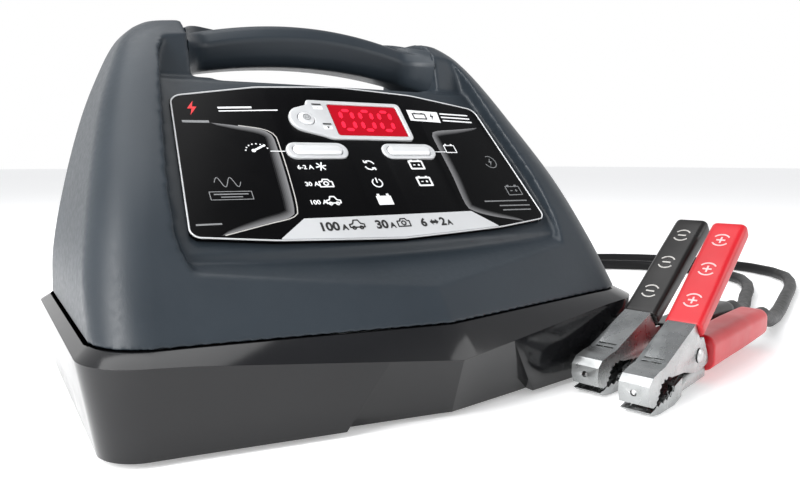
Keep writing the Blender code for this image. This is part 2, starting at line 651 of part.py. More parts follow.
def grip_sleeve(name, line, width, place, pocket, look):
    """Moulded grip over the handle's end: rounded sections along its line, with a pocket for the steel."""
    (x0, z0), (x1, z1), h0, h1 = line
    along = Vector((x1 - x0, z1 - z0))
    length = along.length
    along.normalize()
    across = Vector((-along.y, along.x))
    rings = []
    for t, swell in ((0.0, 1.0), (0.30, 1.0), (0.55, 1.06), (0.80, 1.04), (0.95, 0.98), (1.0, 0.72)):
        half = (h0 + (h1 - h0) * t) * swell
        wide = width / 2 * (1.0 if t < 0.99 else 0.84)
        centre = Vector((x0, z0)) + along * length * t
        ring = []
        for a, b in round_rect(2 * wide, 2 * half, min(wide, half) * 0.55, 2):
            point = centre + across * b
            ring.append(place(point.x, point.y, a))
        rings.append(ring)
    sleeve = loft(name, rings, look, smooth=True)
    deep, wide, thick = pocket
    outline = []
    for t, b in ((-0.01, -thick), (deep, -thick), (deep, thick), (-0.01, thick)):
        point = Vector((x0, z0)) + along * t + across * b
        outline.append((point.x, point.y))
    return cut(sleeve, prism("pocket", outline, place, (-wide, wide)))


def tongue(line, place, deep, wide):
    """The end of a jaw's sheet that goes into its grip."""
    (x0, z0), (x1, z1), _, _ = line
    along = Vector((x1 - x0, z1 - z0)).normalized()
    across = Vector((-along.y, along.x))
    outline = []
    for t, b in ((-0.008, -TONGUE_T), (deep, -TONGUE_T), (deep, TONGUE_T), (-0.008, TONGUE_T)):
        point = Vector((x0, z0)) + along * t + across * b
        outline.append((point.x, point.y))
    return prism("tongue", outline, place, (-wide, wide))


def make_clamp(name, look, grip_look):
    frame = clamp_frame(name)

    def place(along, up, across):
        return frame @ Vector((along, across, up))

    half = CLAMP_W / 2
    upper = channel(f"{name}_upper_jaw", UPPER_JAW, UPPER_INNER, half, half - SHEET, place, look["steel"])
    inner = half - SHEET - 0.0005
    lower = channel(f"{name}_lower_jaw", LOWER_JAW, LOWER_INNER, inner, inner - SHEET, place, look["steel"])
    add(lower, channel("head", LOWER_HEAD, LOWER_INNER, half, inner - SHEET, place, look["steel"]))
    add(upper, tongue(UPPER_GRIP_LINE, place, 0.030, UPPER_TONGUE))
    add(lower, tongue(LOWER_GRIP_LINE, place, 0.030, LOWER_TONGUE))
    px, pz = PIVOT
    for jaw in (upper, lower):
        cut(jaw, prism("hole", circle(0.0027, 14, px, pz), place, (-0.02, 0.02)))
    profile = [(-half - 0.0016, 0.0026), (-half - 0.0004, 0.0040), (-half - 0.0003, 0.0023)]
    profile += [(half + 0.0003, 0.0023), (half + 0.0004, 0.0040), (half + 0.0016, 0.0026)]
    axis = frame.to_3x3() @ Vector((0, 1, 0))
    turned(f"{name}_rivet", profile, place(px, pz, 0.0), axis, 14, look["rivet"])
    make_spring(f"{name}_spring", place, look["rivet"])
    pocket = (0.0306, UPPER_TONGUE + GAP, TONGUE_T + GAP)
    grip_sleeve(f"{name}_upper_grip", UPPER_GRIP_LINE, GRIP_W, place, pocket, grip_look)
    pocket = (0.0306, LOWER_TONGUE + GAP, TONGUE_T + GAP)
    grip_sleeve(f"{name}_lower_grip", LOWER_GRIP_LINE, GRIP_W, place, pocket, grip_look)
    (x0, z0), (x1, z1), _, _ = LOWER_GRIP_LINE
    along = Vector((x1 - x0, 0.0, z1 - z0)).normalized()
    start = place(x1, z1, 0.0) + (frame.to_3x3() @ along) * GAP
    profile = [(0.0, 0.0066), (0.0030, 0.0066), (0.0100, 0.0056)]
    turned(f"{name}_cable_boot", profile, start, frame.to_3x3() @ along, 16, look["rubber"])


def make_spring(name, place, look):
    """Torsion coil round the rivet, with a leg to each jaw."""
    px, pz = PIVOT
    wire, coil, reach, steps = 0.0007, 0.0048, 0.0022, 22
    points = [place(0.0535, 0.0272, -reach)]
    for i in range(steps + 1):
        turn = radians(110 - 846 * i / steps)
        across = reach * (2 * i / steps - 1)
        points.append(place(px + coil * cos(turn), pz + coil * sin(turn), across))
    points.append(place(0.0630, 0.0120, reach))
    tube(name, points, wire, look, 1)


# ---------------------------------------------------------------- leads
def smooth_path(points, step):
    """Points every step along a smooth curve through the given ones."""
    dense = []
    for i in range(len(points) - 1):
        p0 = points[max(i - 1, 0)]
        p1, p2 = points[i], points[i + 1]
        p3 = points[min(i + 2, len(points) - 1)]
        for k in range(20):
            t = k / 20
            dense.append(
                0.5 * ((2 * p1) + (p2 - p0) * t + (2 * p0 - 5 * p1 + 4 * p2 - p3) * t * t
                       + (3 * p1 - p0 - 3 * p2 + p3) * t * t * t)
            )
    dense.append(points[-1])
    length = sum((b - a).length for a, b in zip(dense, dense[1:]))
    count = max(2, round(length / step))
    out, walked, target = [dense[0]], 0.0, length / count
    for a, b in zip(dense, dense[1:]):
        part = (b - a).length
        while walked + part >= target * len(out) and len(out) < count:
            share = (target * len(out) - walked) / part
            out.append(a.lerp(b, share))
        walked += part
    out.append(dense[-1])
    return out


def tube(name, points, radius, look, resolution=2):
    curve = bpy.data.curves.new(name, "CURVE")
    curve.dimensions = "3D"
    curve.bevel_depth = radius
    curve.bevel_resolution = resolution
    curve.use_fill_caps = True
    spline = curve.splines.new("POLY")
    spline.points.add(len(points) - 1)
    for slot, point in zip(spline.points, points):
        slot.co = (*point, 1.0)
    made = bpy.data.objects.new(name, curve)
    bpy.context.scene.collection.objects.link(made)
    curve.materials.append(look)
    return made


FLOOR = LEAD_D / 2 + 0.0002  # height of a lead's middle where it lies down
POSITIVE_ROUTE = [
    (0.068, 0.190, 0.0160), (0.092, 0.222, 0.0075), (0.145, 0.246, FLOOR), (0.210, 0.257, FLOOR), (0.290, 0.257, FLOOR),
    (0.370, 0.245, FLOOR), (0.440, 0.220, FLOOR), (0.492, 0.180, FLOOR), (0.520, 0.130, FLOOR), (0.526, 0.078, FLOOR),
    (0.505, 0.030, FLOOR), (0.455, -0.006, FLOOR), (0.395, -0.036, FLOOR), (0.335, -0.065, FLOOR), (0.288, -0.086, 0.0080),
]
NEGATIVE_ROUTE = [
    (0.093, 0.185, 0.0165), (0.114, 0.209, 0.0085), (0.160, 0.226, FLOOR), (0.215, 0.232, FLOOR), (0.280, 0.226, FLOOR),
    (0.345, 0.209, FLOOR), (0.405, 0.180, FLOOR), (0.450, 0.138, FLOOR), (0.466, 0.090, FLOOR), (0.452, 0.044, FLOOR),
    (0.415, 0.010, FLOOR), (0.370, -0.016, FLOOR), (0.328, -0.041, FLOOR), (0.293, -0.060, 0.0080),
]


def lead_points(name, route):
    """The lead's whole route: straight out of its strain relief, over the floor, straight into its boot."""
    exit_x = [x for x, which in LEAD_EXITS if which == name][0]
    start = Vector((exit_x, RELIEF_END + GAP, EXIT_Z))
    frame = clamp_frame(name)
    (x0, z0), (x1, z1), _, _ = LOWER_GRIP_LINE
    along = (frame.to_3x3() @ Vector((x1 - x0, 0.0, z1 - z0))).normalized()
    end = frame @ Vector((x1, 0.0, z1)) + along * (0.0100 + 2 * GAP)
    first, last = start + Vector((0.0, 0.010, 0.0)), end + along * 0.010
    inner = [first, first + Vector((0.0, 0.008, -0.0008))] + [Vector(p) for p in route]
    inner += [last + along * 0.008 - Vector((0, 0, 0.0010)), last]
    return [start] + smooth_path(inner, 0.020) + [end]


def make_leads(look):
    for name, route in (("negative", NEGATIVE_ROUTE), ("positive", POSITIVE_ROUTE)):
        points = lead_points(name, route)
        points = [Vector((p.x, p.y, max(p.z, FLOOR))) for p in points]
        tube(f"{name}_lead", points, LEAD_D / 2, look, 2)


# ---------------------------------------------------------------- joint origins
def set_origin(name, point):
    """Put a moving piece's origin on its joint axis."""
    piece = bpy.data.objects[name]
    piece.data.transform(Matrix.Translation(-Vector(point)))
    piece.location = point


def set_joint_origins():
    place = flat_on_panel(0.0)
    set_origin("display_button", place(LOBE_C[0], LOBE_C[1], 0.0))
    place = flat_on_panel(LONG_BUTTON_X)
    set_origin("rate_button", place(-LONG_BUTTON_X, LONG_BUTTON_V, 0.0))
    set_origin("battery_type_button", place(LONG_BUTTON_X, LONG_BUTTON_V, 0.0))
    set_origin("fan_rotor", (FAN_C[0], 0.0900, FAN_C[1]))
    for name in CLAMPS:
        pivot = clamp_frame(name) @ Vector((PIVOT[0], 0.0, PIVOT[1]))
        set_origin(f"{name}_upper_jaw", pivot)
        set_origin(f"{name}_upper_grip", pivot)


# ---------------------------------------------------------------- assembly
def main():
    clear_scene()
    grey = material("grey_plastic", GREY_PLASTIC, 0.45)
    black = material("black_gloss", BLACK_PLASTIC, 0.22)
    matt = material("black_matt", (0.02, 0.02, 0.022), 0.6)
    rubber = material("rubber", (0.015, 0.015, 0.015), 0.75)
    silver = material("silver", (0.70, 0.71, 0.72), 0.30, 0.6)
    steel = material("jaw_steel", STEEL, 0.35, 1.0)
    rivet = material("rivet_steel", (0.5, 0.5, 0.5), 0.4, 1.0)
    red = material("red_vinyl", (0.62, 0.02, 0.02), 0.45)
    board = material("board_green", (0.02, 0.16, 0.06), 0.5)
    lens = material("lens_red", (0.35, 0.01, 0.01), 0.15)
    copper = material("bobbin", (0.35, 0.14, 0.05), 0.5)
    lamination = material("lamination", (0.18, 0.18, 0.19), 0.55, 0.6)

    make_upper_housing(grey)
    make_lower_housing(black)
    make_feet(rubber)
    make_screws(rivet)
    make_handle_grip(grey)
    make_control_panel(black)
    make_rate_strip(silver)
    make_display(silver, lens, matt, silver)
    make_long_button("rate_button", -1, silver, silver)
    make_long_button("battery_type_button", 1, silver, silver)
    make_control_board(board)
    make_power_parts(
        {"core": lamination, "bobbin": copper, "board": board, "sink": silver, "can": matt, "relay": matt}
    )
    make_fan(matt, matt, matt)
    make_rear_fittings({"rubber": rubber, "breaker": matt})
    look = {"steel": steel, "rivet": rivet, "rubber": rubber}
    make_clamp("negative", look, matt)
    make_clamp("positive", look, red)
    make_leads(rubber)
    set_joint_origins()


main()
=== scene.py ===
# %% [markdown]
# # An engine-start battery charger, cell by cell
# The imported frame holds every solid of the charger, in metres, with +Z up and the front facing -Y. This lesson
# dresses that frame: moulded shells, a printed panel, pressed steel clamps and two leads. Each piece is made in
# mesh code, so that it can be read, changed and measured.

# %% Load the frame
from math import cos, pi, radians, sin

import bmesh
import bpy
from mathutils import Matrix, Vector


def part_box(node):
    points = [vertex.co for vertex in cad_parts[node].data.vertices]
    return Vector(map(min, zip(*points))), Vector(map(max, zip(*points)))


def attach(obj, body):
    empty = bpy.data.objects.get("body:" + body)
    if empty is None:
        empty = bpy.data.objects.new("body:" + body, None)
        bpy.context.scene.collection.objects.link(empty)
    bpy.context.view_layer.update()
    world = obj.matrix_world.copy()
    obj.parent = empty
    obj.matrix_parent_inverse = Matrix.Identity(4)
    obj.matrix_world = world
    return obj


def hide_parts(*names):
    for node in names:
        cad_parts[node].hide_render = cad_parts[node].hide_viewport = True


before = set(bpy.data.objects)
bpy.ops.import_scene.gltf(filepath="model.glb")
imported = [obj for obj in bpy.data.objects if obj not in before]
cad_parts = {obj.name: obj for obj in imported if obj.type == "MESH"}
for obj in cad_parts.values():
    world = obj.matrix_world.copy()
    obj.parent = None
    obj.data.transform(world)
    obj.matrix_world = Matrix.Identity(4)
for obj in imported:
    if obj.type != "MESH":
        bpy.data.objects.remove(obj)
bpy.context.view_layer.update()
scene = bpy.context.scene
scene.view_settings.view_transform = "Standard"
print("nodes in the frame:", len(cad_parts))

# %% [markdown]
# ## The camera
# A product shot of a squat object looks best from a little above its own height. The camera stands to the left
# of the front corner and looks slightly down, so the panel, one side and both clamps show.

# %% Camera
EYE = Vector((-0.1861, -0.3624, 0.1185))
TURN, DIP = radians(31.54), radians(6.54)

camera_data = bpy.data.cameras.new("camera")
camera_data.lens = 31.6
camera_data.sensor_width = 36.0
camera_data.clip_start = 0.01
camera = bpy.data.objects.new("camera", camera_data)
scene.collection.objects.link(camera)
camera.location = EYE
camera.rotation_euler = (pi / 2 - DIP, 0.0, -TURN)
scene.camera = camera
print("lens", camera_data.lens, "mm")

# %% [markdown]
# ## Finishes
# A finish is a small network of nodes. Every one starts from the same few parts: a noise that drifts the
# colour, a second noise that breaks up the gloss, and a fine bump for the mould's texture. Values that never
# change are set on the shader itself, because an exported model keeps those.


# %% Helper: finishes from nodes
def link(tree, source, target):
    tree.links.new(source, target)


def new_finish(name):
    made = bpy.data.materials.new(name)
    made.use_nodes = True
    return made, made.node_tree, made.node_tree.nodes["Principled BSDF"]


def noise(tree, scale, detail=3.0, stretch=None):
    """Noise in the piece's own coordinates, stretched along an axis if asked."""
    where = tree.nodes.new("ShaderNodeTexCoord")
    grain = tree.nodes.new("ShaderNodeTexNoise")
    grain.inputs["Scale"].default_value = scale
    grain.inputs["Detail"].default_value = detail
    if stretch:
        mapping = tree.nodes.new("ShaderNodeMapping")
        mapping.inputs["Scale"].default_value = stretch
        link(tree, where.outputs["Object"], mapping.inputs["Vector"])
        link(tree, mapping.outputs["Vector"], grain.inputs["Vector"])
    else:
        link(tree, where.outputs["Object"], grain.inputs["Vector"])
    return grain.outputs["Fac"]


def ramp(tree, value, low, high, start=0.35, end=0.65):
    """Turn a noise into a colour or grey between two ends."""
    made = tree.nodes.new("ShaderNodeValToRGB")
    made.color_ramp.elements[0].position = start
    made.color_ramp.elements[1].position = end
    made.color_ramp.elements[0].color = (*low, 1.0)
    made.color_ramp.elements[1].color = (*high, 1.0)
    link(tree, value, made.inputs["Fac"])
    return made.outputs["Color"]


def bump(tree, shader, value, strength, distance=0.0003):
    made = tree.nodes.new("ShaderNodeBump")
    made.inputs["Strength"].default_value = strength
    made.inputs["Distance"].default_value = distance
    link(tree, value, made.inputs["Height"])
    link(tree, made.outputs["Normal"], shader.inputs["Normal"])


def finish(name, dark, light, rough, grain, relief, drift=14.0, metal=0.0, stretch=None, specular=0.5):
    """Drifting colour, broken-up gloss and a fine bump."""
    made, tree, shader = new_finish(name)
    link(tree, ramp(tree, noise(tree, drift, 4.0), dark, light), shader.inputs["Base Color"])
    low, high = rough
    gloss = ramp(tree, noise(tree, grain * 0.25, 3.0, stretch), (low,) * 3, (high,) * 3, 0.25, 0.75)
    link(tree, gloss, shader.inputs["Roughness"])
    bump(tree, shader, noise(tree, grain, 2.0, stretch), relief)
    shader.inputs["Metallic"].default_value = metal
    shader.inputs["Specular IOR Level"].default_value = specular
    return made


def glow(look, colour, strength):
    shader = look.node_tree.nodes["Principled BSDF"]
    shader.inputs["Emission Color"].default_value = (*colour, 1.0)
    shader.inputs["Emission Strength"].default_value = strength


# %% Finishes of this charger
slate = finish("slate_plastic", (0.0175, 0.0235, 0.0300), (0.0215, 0.0285, 0.0360), (0.34, 0.44),
               1400.0, 0.10, specular=0.30)
base_black = finish("base_black", (0.0060, 0.0062, 0.0070), (0.0085, 0.0087, 0.0098), (0.10, 0.16),
                    300.0, 0.012, specular=0.38)
panel_black = finish("panel_black", (0.0012, 0.0012, 0.0014), (0.0018, 0.0018, 0.0022), (0.20, 0.27),
                     300.0, 0.010, specular=0.08)
matt_black = finish("matt_black", (0.014, 0.014, 0.015), (0.024, 0.024, 0.026), (0.50, 0.65), 1200.0, 0.15)
lead_rubber = finish("lead_rubber", (0.0030, 0.0030, 0.0034), (0.0055, 0.0055, 0.0062), (0.38, 0.52),
                     900.0, 0.10, specular=0.22)
foot_rubber = finish("foot_rubber", (0.018, 0.018, 0.018), (0.030, 0.030, 0.030), (0.75, 0.90), 700.0, 0.30)
silver = finish("silver_paint", (0.52, 0.53, 0.54), (0.60, 0.61, 0.62), (0.28, 0.36), 1800.0, 0.05, metal=0.20)
bright_silver = finish("button_silver", (0.70, 0.71, 0.72), (0.78, 0.79, 0.80), (0.16, 0.24),
                       1200.0, 0.03, metal=0.30)
steel = finish("jaw_steel", (0.30, 0.31, 0.31), (0.42, 0.43, 0.43), (0.20, 0.36), 500.0, 0.08, 60.0, 1.0)
rivet_steel = finish("rivet_steel", (0.45, 0.45, 0.45), (0.58, 0.58, 0.58), (0.24, 0.38),
                     600.0, 0.08, 80.0, 1.0)
red_vinyl = finish("red_vinyl", (0.43, 0.004, 0.010), (0.52, 0.007, 0.015), (0.30, 0.42), 260.0, 0.07, 25.0)
black_vinyl = finish("black_vinyl", (0.006, 0.0055, 0.0055), (0.011, 0.010, 0.0095), (0.26, 0.38),
                     260.0, 0.08, 25.0, specular=0.35)
white_ink = finish("white_ink", (0.72, 0.73, 0.74), (0.82, 0.83, 0.84), (0.45, 0.55), 2000.0, 0.04)
grey_ink = finish("grey_ink", (0.16, 0.165, 0.17), (0.23, 0.235, 0.24), (0.40, 0.50), 2000.0, 0.04)
black_ink = finish("black_ink", (0.006, 0.006, 0.006), (0.012, 0.012, 0.012), (0.45, 0.55), 2000.0, 0.04)
red_ink = finish("red_ink", (0.60, 0.010, 0.015), (0.75, 0.020, 0.025), (0.40, 0.50), 2000.0, 0.04)
pale_pink = finish("pale_pink_ink", (0.78, 0.42, 0.42), (0.86, 0.52, 0.52), (0.50, 0.60), 2000.0, 0.05)
pale_grey = finish("pale_grey_ink", (0.42, 0.41, 0.39), (0.52, 0.51, 0.49), (0.50, 0.60), 2000.0, 0.05)
print("finishes so far:", len(bpy.data.materials))

# %% Finishes of the pieces inside
circuit = finish("circuit_green", (0.010, 0.085, 0.035), (0.030, 0.190, 0.080), (0.30, 0.45),
                 420.0, 0.15, 260.0)
copper = finish("copper_wire", (0.28, 0.09, 0.03), (0.48, 0.20, 0.08), (0.28, 0.42), 300.0, 0.5, 60.0,
                metal=0.8, stretch=(0.1, 1, 8))
sheets = finish("steel_sheets", (0.10, 0.10, 0.11), (0.22, 0.22, 0.23), (0.40, 0.60), 260.0, 0.6, 40.0,
                metal=0.7, stretch=(0.1, 9, 0.1))
cast_silver = finish("sink_aluminium", (0.52, 0.53, 0.54), (0.64, 0.65, 0.66), (0.28, 0.42),
                     500.0, 0.1, 60.0, 1.0)
print("finishes so far:", len(bpy.data.materials))

# %% [markdown]
# The display window is a clear red pane with a faint painted glow of its own, and its digits glow. A glow is a
# colour and a strength on the shader.

# %% Finishes that glow
red_pane_painted_glow = finish("red_pane_painted_glow", (0.26, 0.001, 0.006), (0.32, 0.002, 0.009), (0.12, 0.18),
                  200.0, 0.01, specular=0.12)
# The pane is no lamp: its weak emission is a painted glow, standing in for the display's light spread through
# the lens.
glow(red_pane_painted_glow, (0.75, 0.0, 0.02), 0.16)
lit_digit = finish("lit_digit", (0.62, 0.010, 0.030), (0.70, 0.016, 0.040), (0.30, 0.40),
                   500.0, 0.02, specular=0.12)
glow(lit_digit, (1.0, 0.02, 0.06), 0.55)
print("finishes:", len(bpy.data.materials))

# %% [markdown]
# ## Makers
# Most pieces here are lofts: rings of points, one after another, joined by faces. A plate, a rod and a moulded
# shell are all lofts with different rings. The edge of a plate is then rounded by a bevel, since no real edge
# is perfectly sharp and a rounded one catches the light.

# %% Makers: lofts and rounded edges
ROOT = "charger"


def settle(piece):
    """Apply a piece's modifiers, so that its mesh is final."""
    bpy.context.view_layer.update()
    evaluated = piece.evaluated_get(bpy.context.evaluated_depsgraph_get())
    mesh = bpy.data.meshes.new_from_object(evaluated)
    piece.modifiers.clear()
    piece.data = mesh
    return piece


def as_piece(bm, name, look, smooth_angle=35):
    bmesh.ops.recalc_face_normals(bm, faces=bm.faces)
    mesh = bpy.data.meshes.new(name)
    bm.to_mesh(mesh)
    bm.free()
    mesh.materials.append(look)
    mesh.shade_smooth()
    mesh.set_sharp_from_angle(angle=radians(smooth_angle))
    piece = bpy.data.objects.new(name, mesh)
    scene.collection.objects.link(piece)
    return piece


def loft(name, rings, look, smooth_angle=35):
    bm = bmesh.new()
    rows = [[bm.verts.new(point) for point in ring] for ring in rings]
    count = len(rows[0])
    for low, high in zip(rows, rows[1:]):
        for i in range(count):
            j = (i + 1) % count
            bm.faces.new((low[i], low[j], high[j], high[i]))
    bm.faces.new(list(reversed(rows[0])))
    bm.faces.new(rows[-1])
    return as_piece(bm, name, look, smooth_angle)


def round_edges(piece, width, steps=3, angle=35):
    change = piece.modifiers.new("round", "BEVEL")
    change.width = width
    change.segments = steps
    change.limit_method = "ANGLE"
    change.angle_limit = radians(angle)
    change.harden_normals = False
    return settle(piece)


# %% Makers: plates, turned pieces, wires and cuts
def in_plan(a, b, c):
    """A place for an outline seen from above; its thickness goes up."""
    return a, b, c


def in_front(a, b, c):
    """A place for an outline seen from the front; its thickness goes back."""
    return a, c, b


def in_side(a, b, c):
    """A place for an outline seen from the side; its thickness goes to the right."""
    return c, a, b


def plate(name, outline, place, low, high, look, edge=0.0):
    """An outline of (a, b) points, extruded from low to high along the place's third direction."""
    piece = loft(name, [[place(a, b, c) for a, b in outline] for c in (low, high)], look)
    return round_edges(piece, edge) if edge else piece


def turned(name, profile, centre, axis, look, count=40):
    """A solid of revolution from (along, radius) pairs."""
    axis = Vector(axis).normalized()
    side = axis.orthogonal().normalized()
    other = axis.cross(side)
    rings = []
    for along, radius in profile:
        middle = Vector(centre) + axis * along
        turns = [2 * pi * i / count for i in range(count)]
        rings.append([middle + (side * cos(t) + other * sin(t)) * radius for t in turns])
    return loft(name, rings, look)


def wire(name, points, radius, look, resolution):
    """A round wire through points: a curve with a bevel."""
    curve = bpy.data.curves.new(name, "CURVE")
    curve.dimensions = "3D"
    curve.bevel_depth = radius
    curve.bevel_resolution = resolution
    curve.use_fill_caps = True
    spline = curve.splines.new("POLY")
    spline.points.add(len(points) - 1)
    for spot, point in zip(spline.points, points):
        spot.co = (*point, 1.0)
    made = bpy.data.objects.new(name, curve)
    scene.collection.objects.link(made)
    curve.materials.append(look)
    return made


def combine(target, *others, how="DIFFERENCE"):
    """Cut the other pieces out of the target, or join them to it; they are used up."""
    for other in others:
        change = target.modifiers.new("combine", "BOOLEAN")
        change.operation = how
        change.solver = "EXACT"
        change.object = other
        settle(target)
        bpy.data.objects.remove(other, do_unlink=True)
    return target


# %% Makers: outlines
def circle(radius, count, cx=0.0, cy=0.0):
    turns = [2 * pi * i / count for i in range(count)]
    return [(cx + radius * cos(turn), cy + radius * sin(turn)) for turn in turns]


def arc(cx, cy, radius, start, end, steps):
    """Points round a part of a circle, from one angle in degrees to another."""
    turns = [radians(start + (end - start) * i / steps) for i in range(steps + 1)]
    return [(cx + radius * cos(turn), cy + radius * sin(turn)) for turn in turns]


def round_rect(width, height, radius, steps, cx=0.0, cy=0.0):
    points = []
    for sx, sy, start in ((1, -1, -90), (1, 1, 0), (-1, 1, 90), (-1, -1, 180)):
        x, y = cx + sx * (width / 2 - radius), cy + sy * (height / 2 - radius)
        points += arc(x, y, radius, start, start + 90, steps)
    return points


def soften_outline(points, radius, steps):
    """Round every corner of a closed outline."""
    out = []
    count = len(points)
    for i, here in enumerate(points):
        here = Vector(here)
        before, after = Vector(points[i - 1]) - here, Vector(points[(i + 1) % count]) - here
        reach = min(radius, before.length * 0.45, after.length * 0.45)
        a, b = here + before.normalized() * reach, here + after.normalized() * reach
        for k in range(steps + 1):
            t = k / steps
            out.append(tuple(a * (1 - t) ** 2 + here * 2 * t * (1 - t) + b * t * t))
    return out


# %% Makers: what a piece stands for
def own(piece, *nodes, slot, body=ROOT):
    """Say what a finished piece rides on and which solids it stands for; slot is not used."""
    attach(piece, body)
    if nodes:
        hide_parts(*nodes)
    print(f"{piece.name}: {len(piece.data.polygons)} faces" if piece.type == "MESH" else piece.name)
    return piece


# %% [markdown]
# ## The upper housing
# The real shell is one deep moulding: it leans back, narrows towards the handle and has a large scooped face
# for the panel. A smooth reading of a few stations gives its outer form. The scoop and the hand space are cut
# out of it, and a fine voxel remesh with a little smoothing rounds every edge at once, as the mould does.

# %% Upper housing: stations and rings
# Height, half width, centre of the front, back, corner radius, front bow.
UPPER_STATIONS = [
    (0.0446, 0.1485, -0.1055, 0.1055, 0.0275, 0.0225),
    (0.0700, 0.1470, -0.0838, 0.1045, 0.0275, 0.0185),
    (0.1070, 0.1395, -0.0524, 0.1025, 0.0270, 0.0130),
    (0.1440, 0.1290, -0.0209, 0.0995, 0.0260, 0.0130),
    (0.1700, 0.1185, 0.0012, 0.0965, 0.0240, 0.0125),
    (0.1850, 0.1105, 0.0160, 0.0935, 0.0220, 0.0120),
    (0.1925, 0.1030, 0.0270, 0.0895, 0.0190, 0.0100),
    (0.1968, 0.0935, 0.0360, 0.0845, 0.0160, 0.0070),
    (0.1985, 0.0800, 0.0460, 0.0785, 0.0120, 0.0040),
]
SHELL_FOOT, SHELL_TOP = UPPER_STATIONS[0][0], UPPER_STATIONS[-1][0]


def smooth_read(table, z):
    """Read a station table at a height, along a smooth curve through its rows."""
    rows = len(table)
    k = max(i for i in range(rows) if table[i][0] <= z or i == 0)
    k = min(k, rows - 2)
    before, low, high, after = table[max(k - 1, 0)], table[k], table[k + 1], table[min(k + 2, rows - 1)]
    step = high[0] - low[0]
    t = (z - low[0]) / step
    values = []
    for column in range(1, len(low)):
        slope_low = (high[column] - before[column]) / (high[0] - before[0]) * step
        slope_high = (after[column] - low[column]) / (after[0] - low[0]) * step
        values.append(
            (2 * t**3 - 3 * t**2 + 1) * low[column] + (t**3 - 2 * t**2 + t) * slope_low
            + (-2 * t**3 + 3 * t**2) * high[column] + (t**3 - t**2) * slope_high
        )
    return values


def plan_ring(half, front, back, radius, bow, height, arc_steps=14, front_steps=16):
    """Plan outline, counter-clockwise from the middle of the front; height is a function of x and y."""
    reach = half - radius
    points = [(reach * i / front_steps, front + bow * i / front_steps) for i in range(front_steps)]
    corners = [
        (reach, front + bow + radius, -78, 0), (reach, back - radius, 0, 90),
        (-reach, back - radius, 90, 180), (-reach, front + bow + radius, 180, 258),
    ]
    for cx, cy, start, end in corners:
        points += arc(cx, cy, radius, start, end, arc_steps)
    points += [(-reach * i / front_steps, front + bow * i / front_steps) for i in range(front_steps - 1, 0, -1)]
    return [(x, y, height(x, y)) for x, y in points]


def upper_form(name, levels, inset=0.0):
    """The shell's outer form, or a smaller one inside it; its sloped front moves in a little more."""
    rings = []
    for z in levels:
        half, front, back, radius, bow = smooth_read(UPPER_STATIONS, z)
        inner = (half - inset, front + 1.3 * inset, back - inset, radius - 0.7 * inset, bow)
        rings.append(plan_ring(*inner, lambda x, y, h=z: h))
    return loft(name, rings, slate)


# %% Upper housing: the panel's plane and the scooped recess
PANEL_FOOT = Vector((0.0, -0.0638, 0.0799))
PANEL_UP = Vector((0.0, 0.925, 1.0)).normalized()
PANEL_OUT = Vector((0.0, -1.0, 0.925)).normalized()
PANEL_BOW, PANEL_T, GAP = 0.5, 0.0022, 0.0003


def on_panel(x, up, out=0.0):
    """A place on the bowed panel: x, height up the slope, distance out of its face."""
    point = PANEL_FOOT + PANEL_UP * up + PANEL_OUT * out
    return Vector((x, point.y + PANEL_BOW * x * x, point.z))


def flat_at(cx):
    """Like on_panel, but flat, for small stiff pieces around x = cx."""
    back = PANEL_BOW * cx * cx

    def place(x, up, out):
        point = PANEL_FOOT + PANEL_UP * up + PANEL_OUT * out
        return Vector((x, point.y + back, point.z))

    return place


def recess_profile(x, grow=0.0):
    """Side profile of the scoop: floor, lip, the panel's seat and the wall under the brow."""
    back, lift = PANEL_BOW * x * x, 0.3 * x * x
    foot = PANEL_FOOT - PANEL_OUT * (PANEL_T + GAP + grow)
    head = foot + PANEL_UP * (0.1135 + 0.2 * grow)
    return [
        (-0.150, 0.0378 + lift - grow), (-0.0620 + back, 0.0714 + lift - grow), (foot.y + back, foot.z - 0.001),
        (head.y + back, head.z), (0.0240 + grow, 0.1640 - grow), (0.0400 + grow, 0.2300), (-0.150, 0.2300),
    ]


RECESS_SIDE = [
    (0.1000, 0.0600), (0.1065, 0.0715), (0.1108, 0.0840), (0.1092, 0.1100),
    (0.1022, 0.1500), (0.0970, 0.1780), (0.0900, 0.1905), (0.0800, 0.1960),
]


def recess_cutter(grow=0.0):
    """The scoop as a solid: its side profile swept across, kept inside its outline from the front."""
    xs = [-0.130 + 0.260 * i / 52 for i in range(53)]
    cutter = loft("recess", [[(x, y, z) for y, z in recess_profile(x, grow)] for x in xs], slate)
    side = [(x + grow, z) for x, z in RECESS_SIDE]
    outline = [(0.0, 0.030)] + side + [(-x, z) for x, z in reversed(side)]
    window = plate("window", soften_outline(outline, 0.006, 4), in_front, -0.16, 0.14, slate)
    return combine(cutter, window, how="INTERSECT")


# %% Upper housing: the hand space under the grip
GRIP_HALF = 0.0795


def hand_cutters():
    """The space between the shoulders, and the sloped floor under it that lets the fingers in."""
    reach = GRIP_HALF + 0.0006
    over = plate("over", round_rect(2 * reach, 0.118, 0.010, 6, 0.0, 0.071), in_plan, 0.1640, 0.2400, slate)
    floor = [(0.012, 0.1640), (0.130, 0.1385), (0.130, 0.1800), (0.012, 0.1800)]
    scoop = plate("scoop", floor, in_side, -0.0700, 0.0700, slate)
    return over, round_edges(scoop, 0.006, 4)


def moulded(piece, voxel, passes):
    """Remesh to even quads and let smoothing round the edges."""
    change = piece.modifiers.new("even", "REMESH")
    change.mode = "VOXEL"
    change.voxel_size = voxel
    change.use_smooth_shade = True
    change = piece.modifiers.new("soften", "SMOOTH")
    change.factor = 0.5
    change.iterations = passes
    settle(piece)
    piece.data.shade_smooth()
    return piece


levels = [SHELL_FOOT + (SHELL_TOP - SHELL_FOOT) * (i / 44) ** 0.85 for i in range(45)]
upper_housing = upper_form("upper_shell", levels)
combine(upper_housing, recess_cutter(), *hand_cutters())
moulded(upper_housing, 0.00115, 9)
print("upper shell remeshed:", len(upper_housing.data.polygons), "faces")

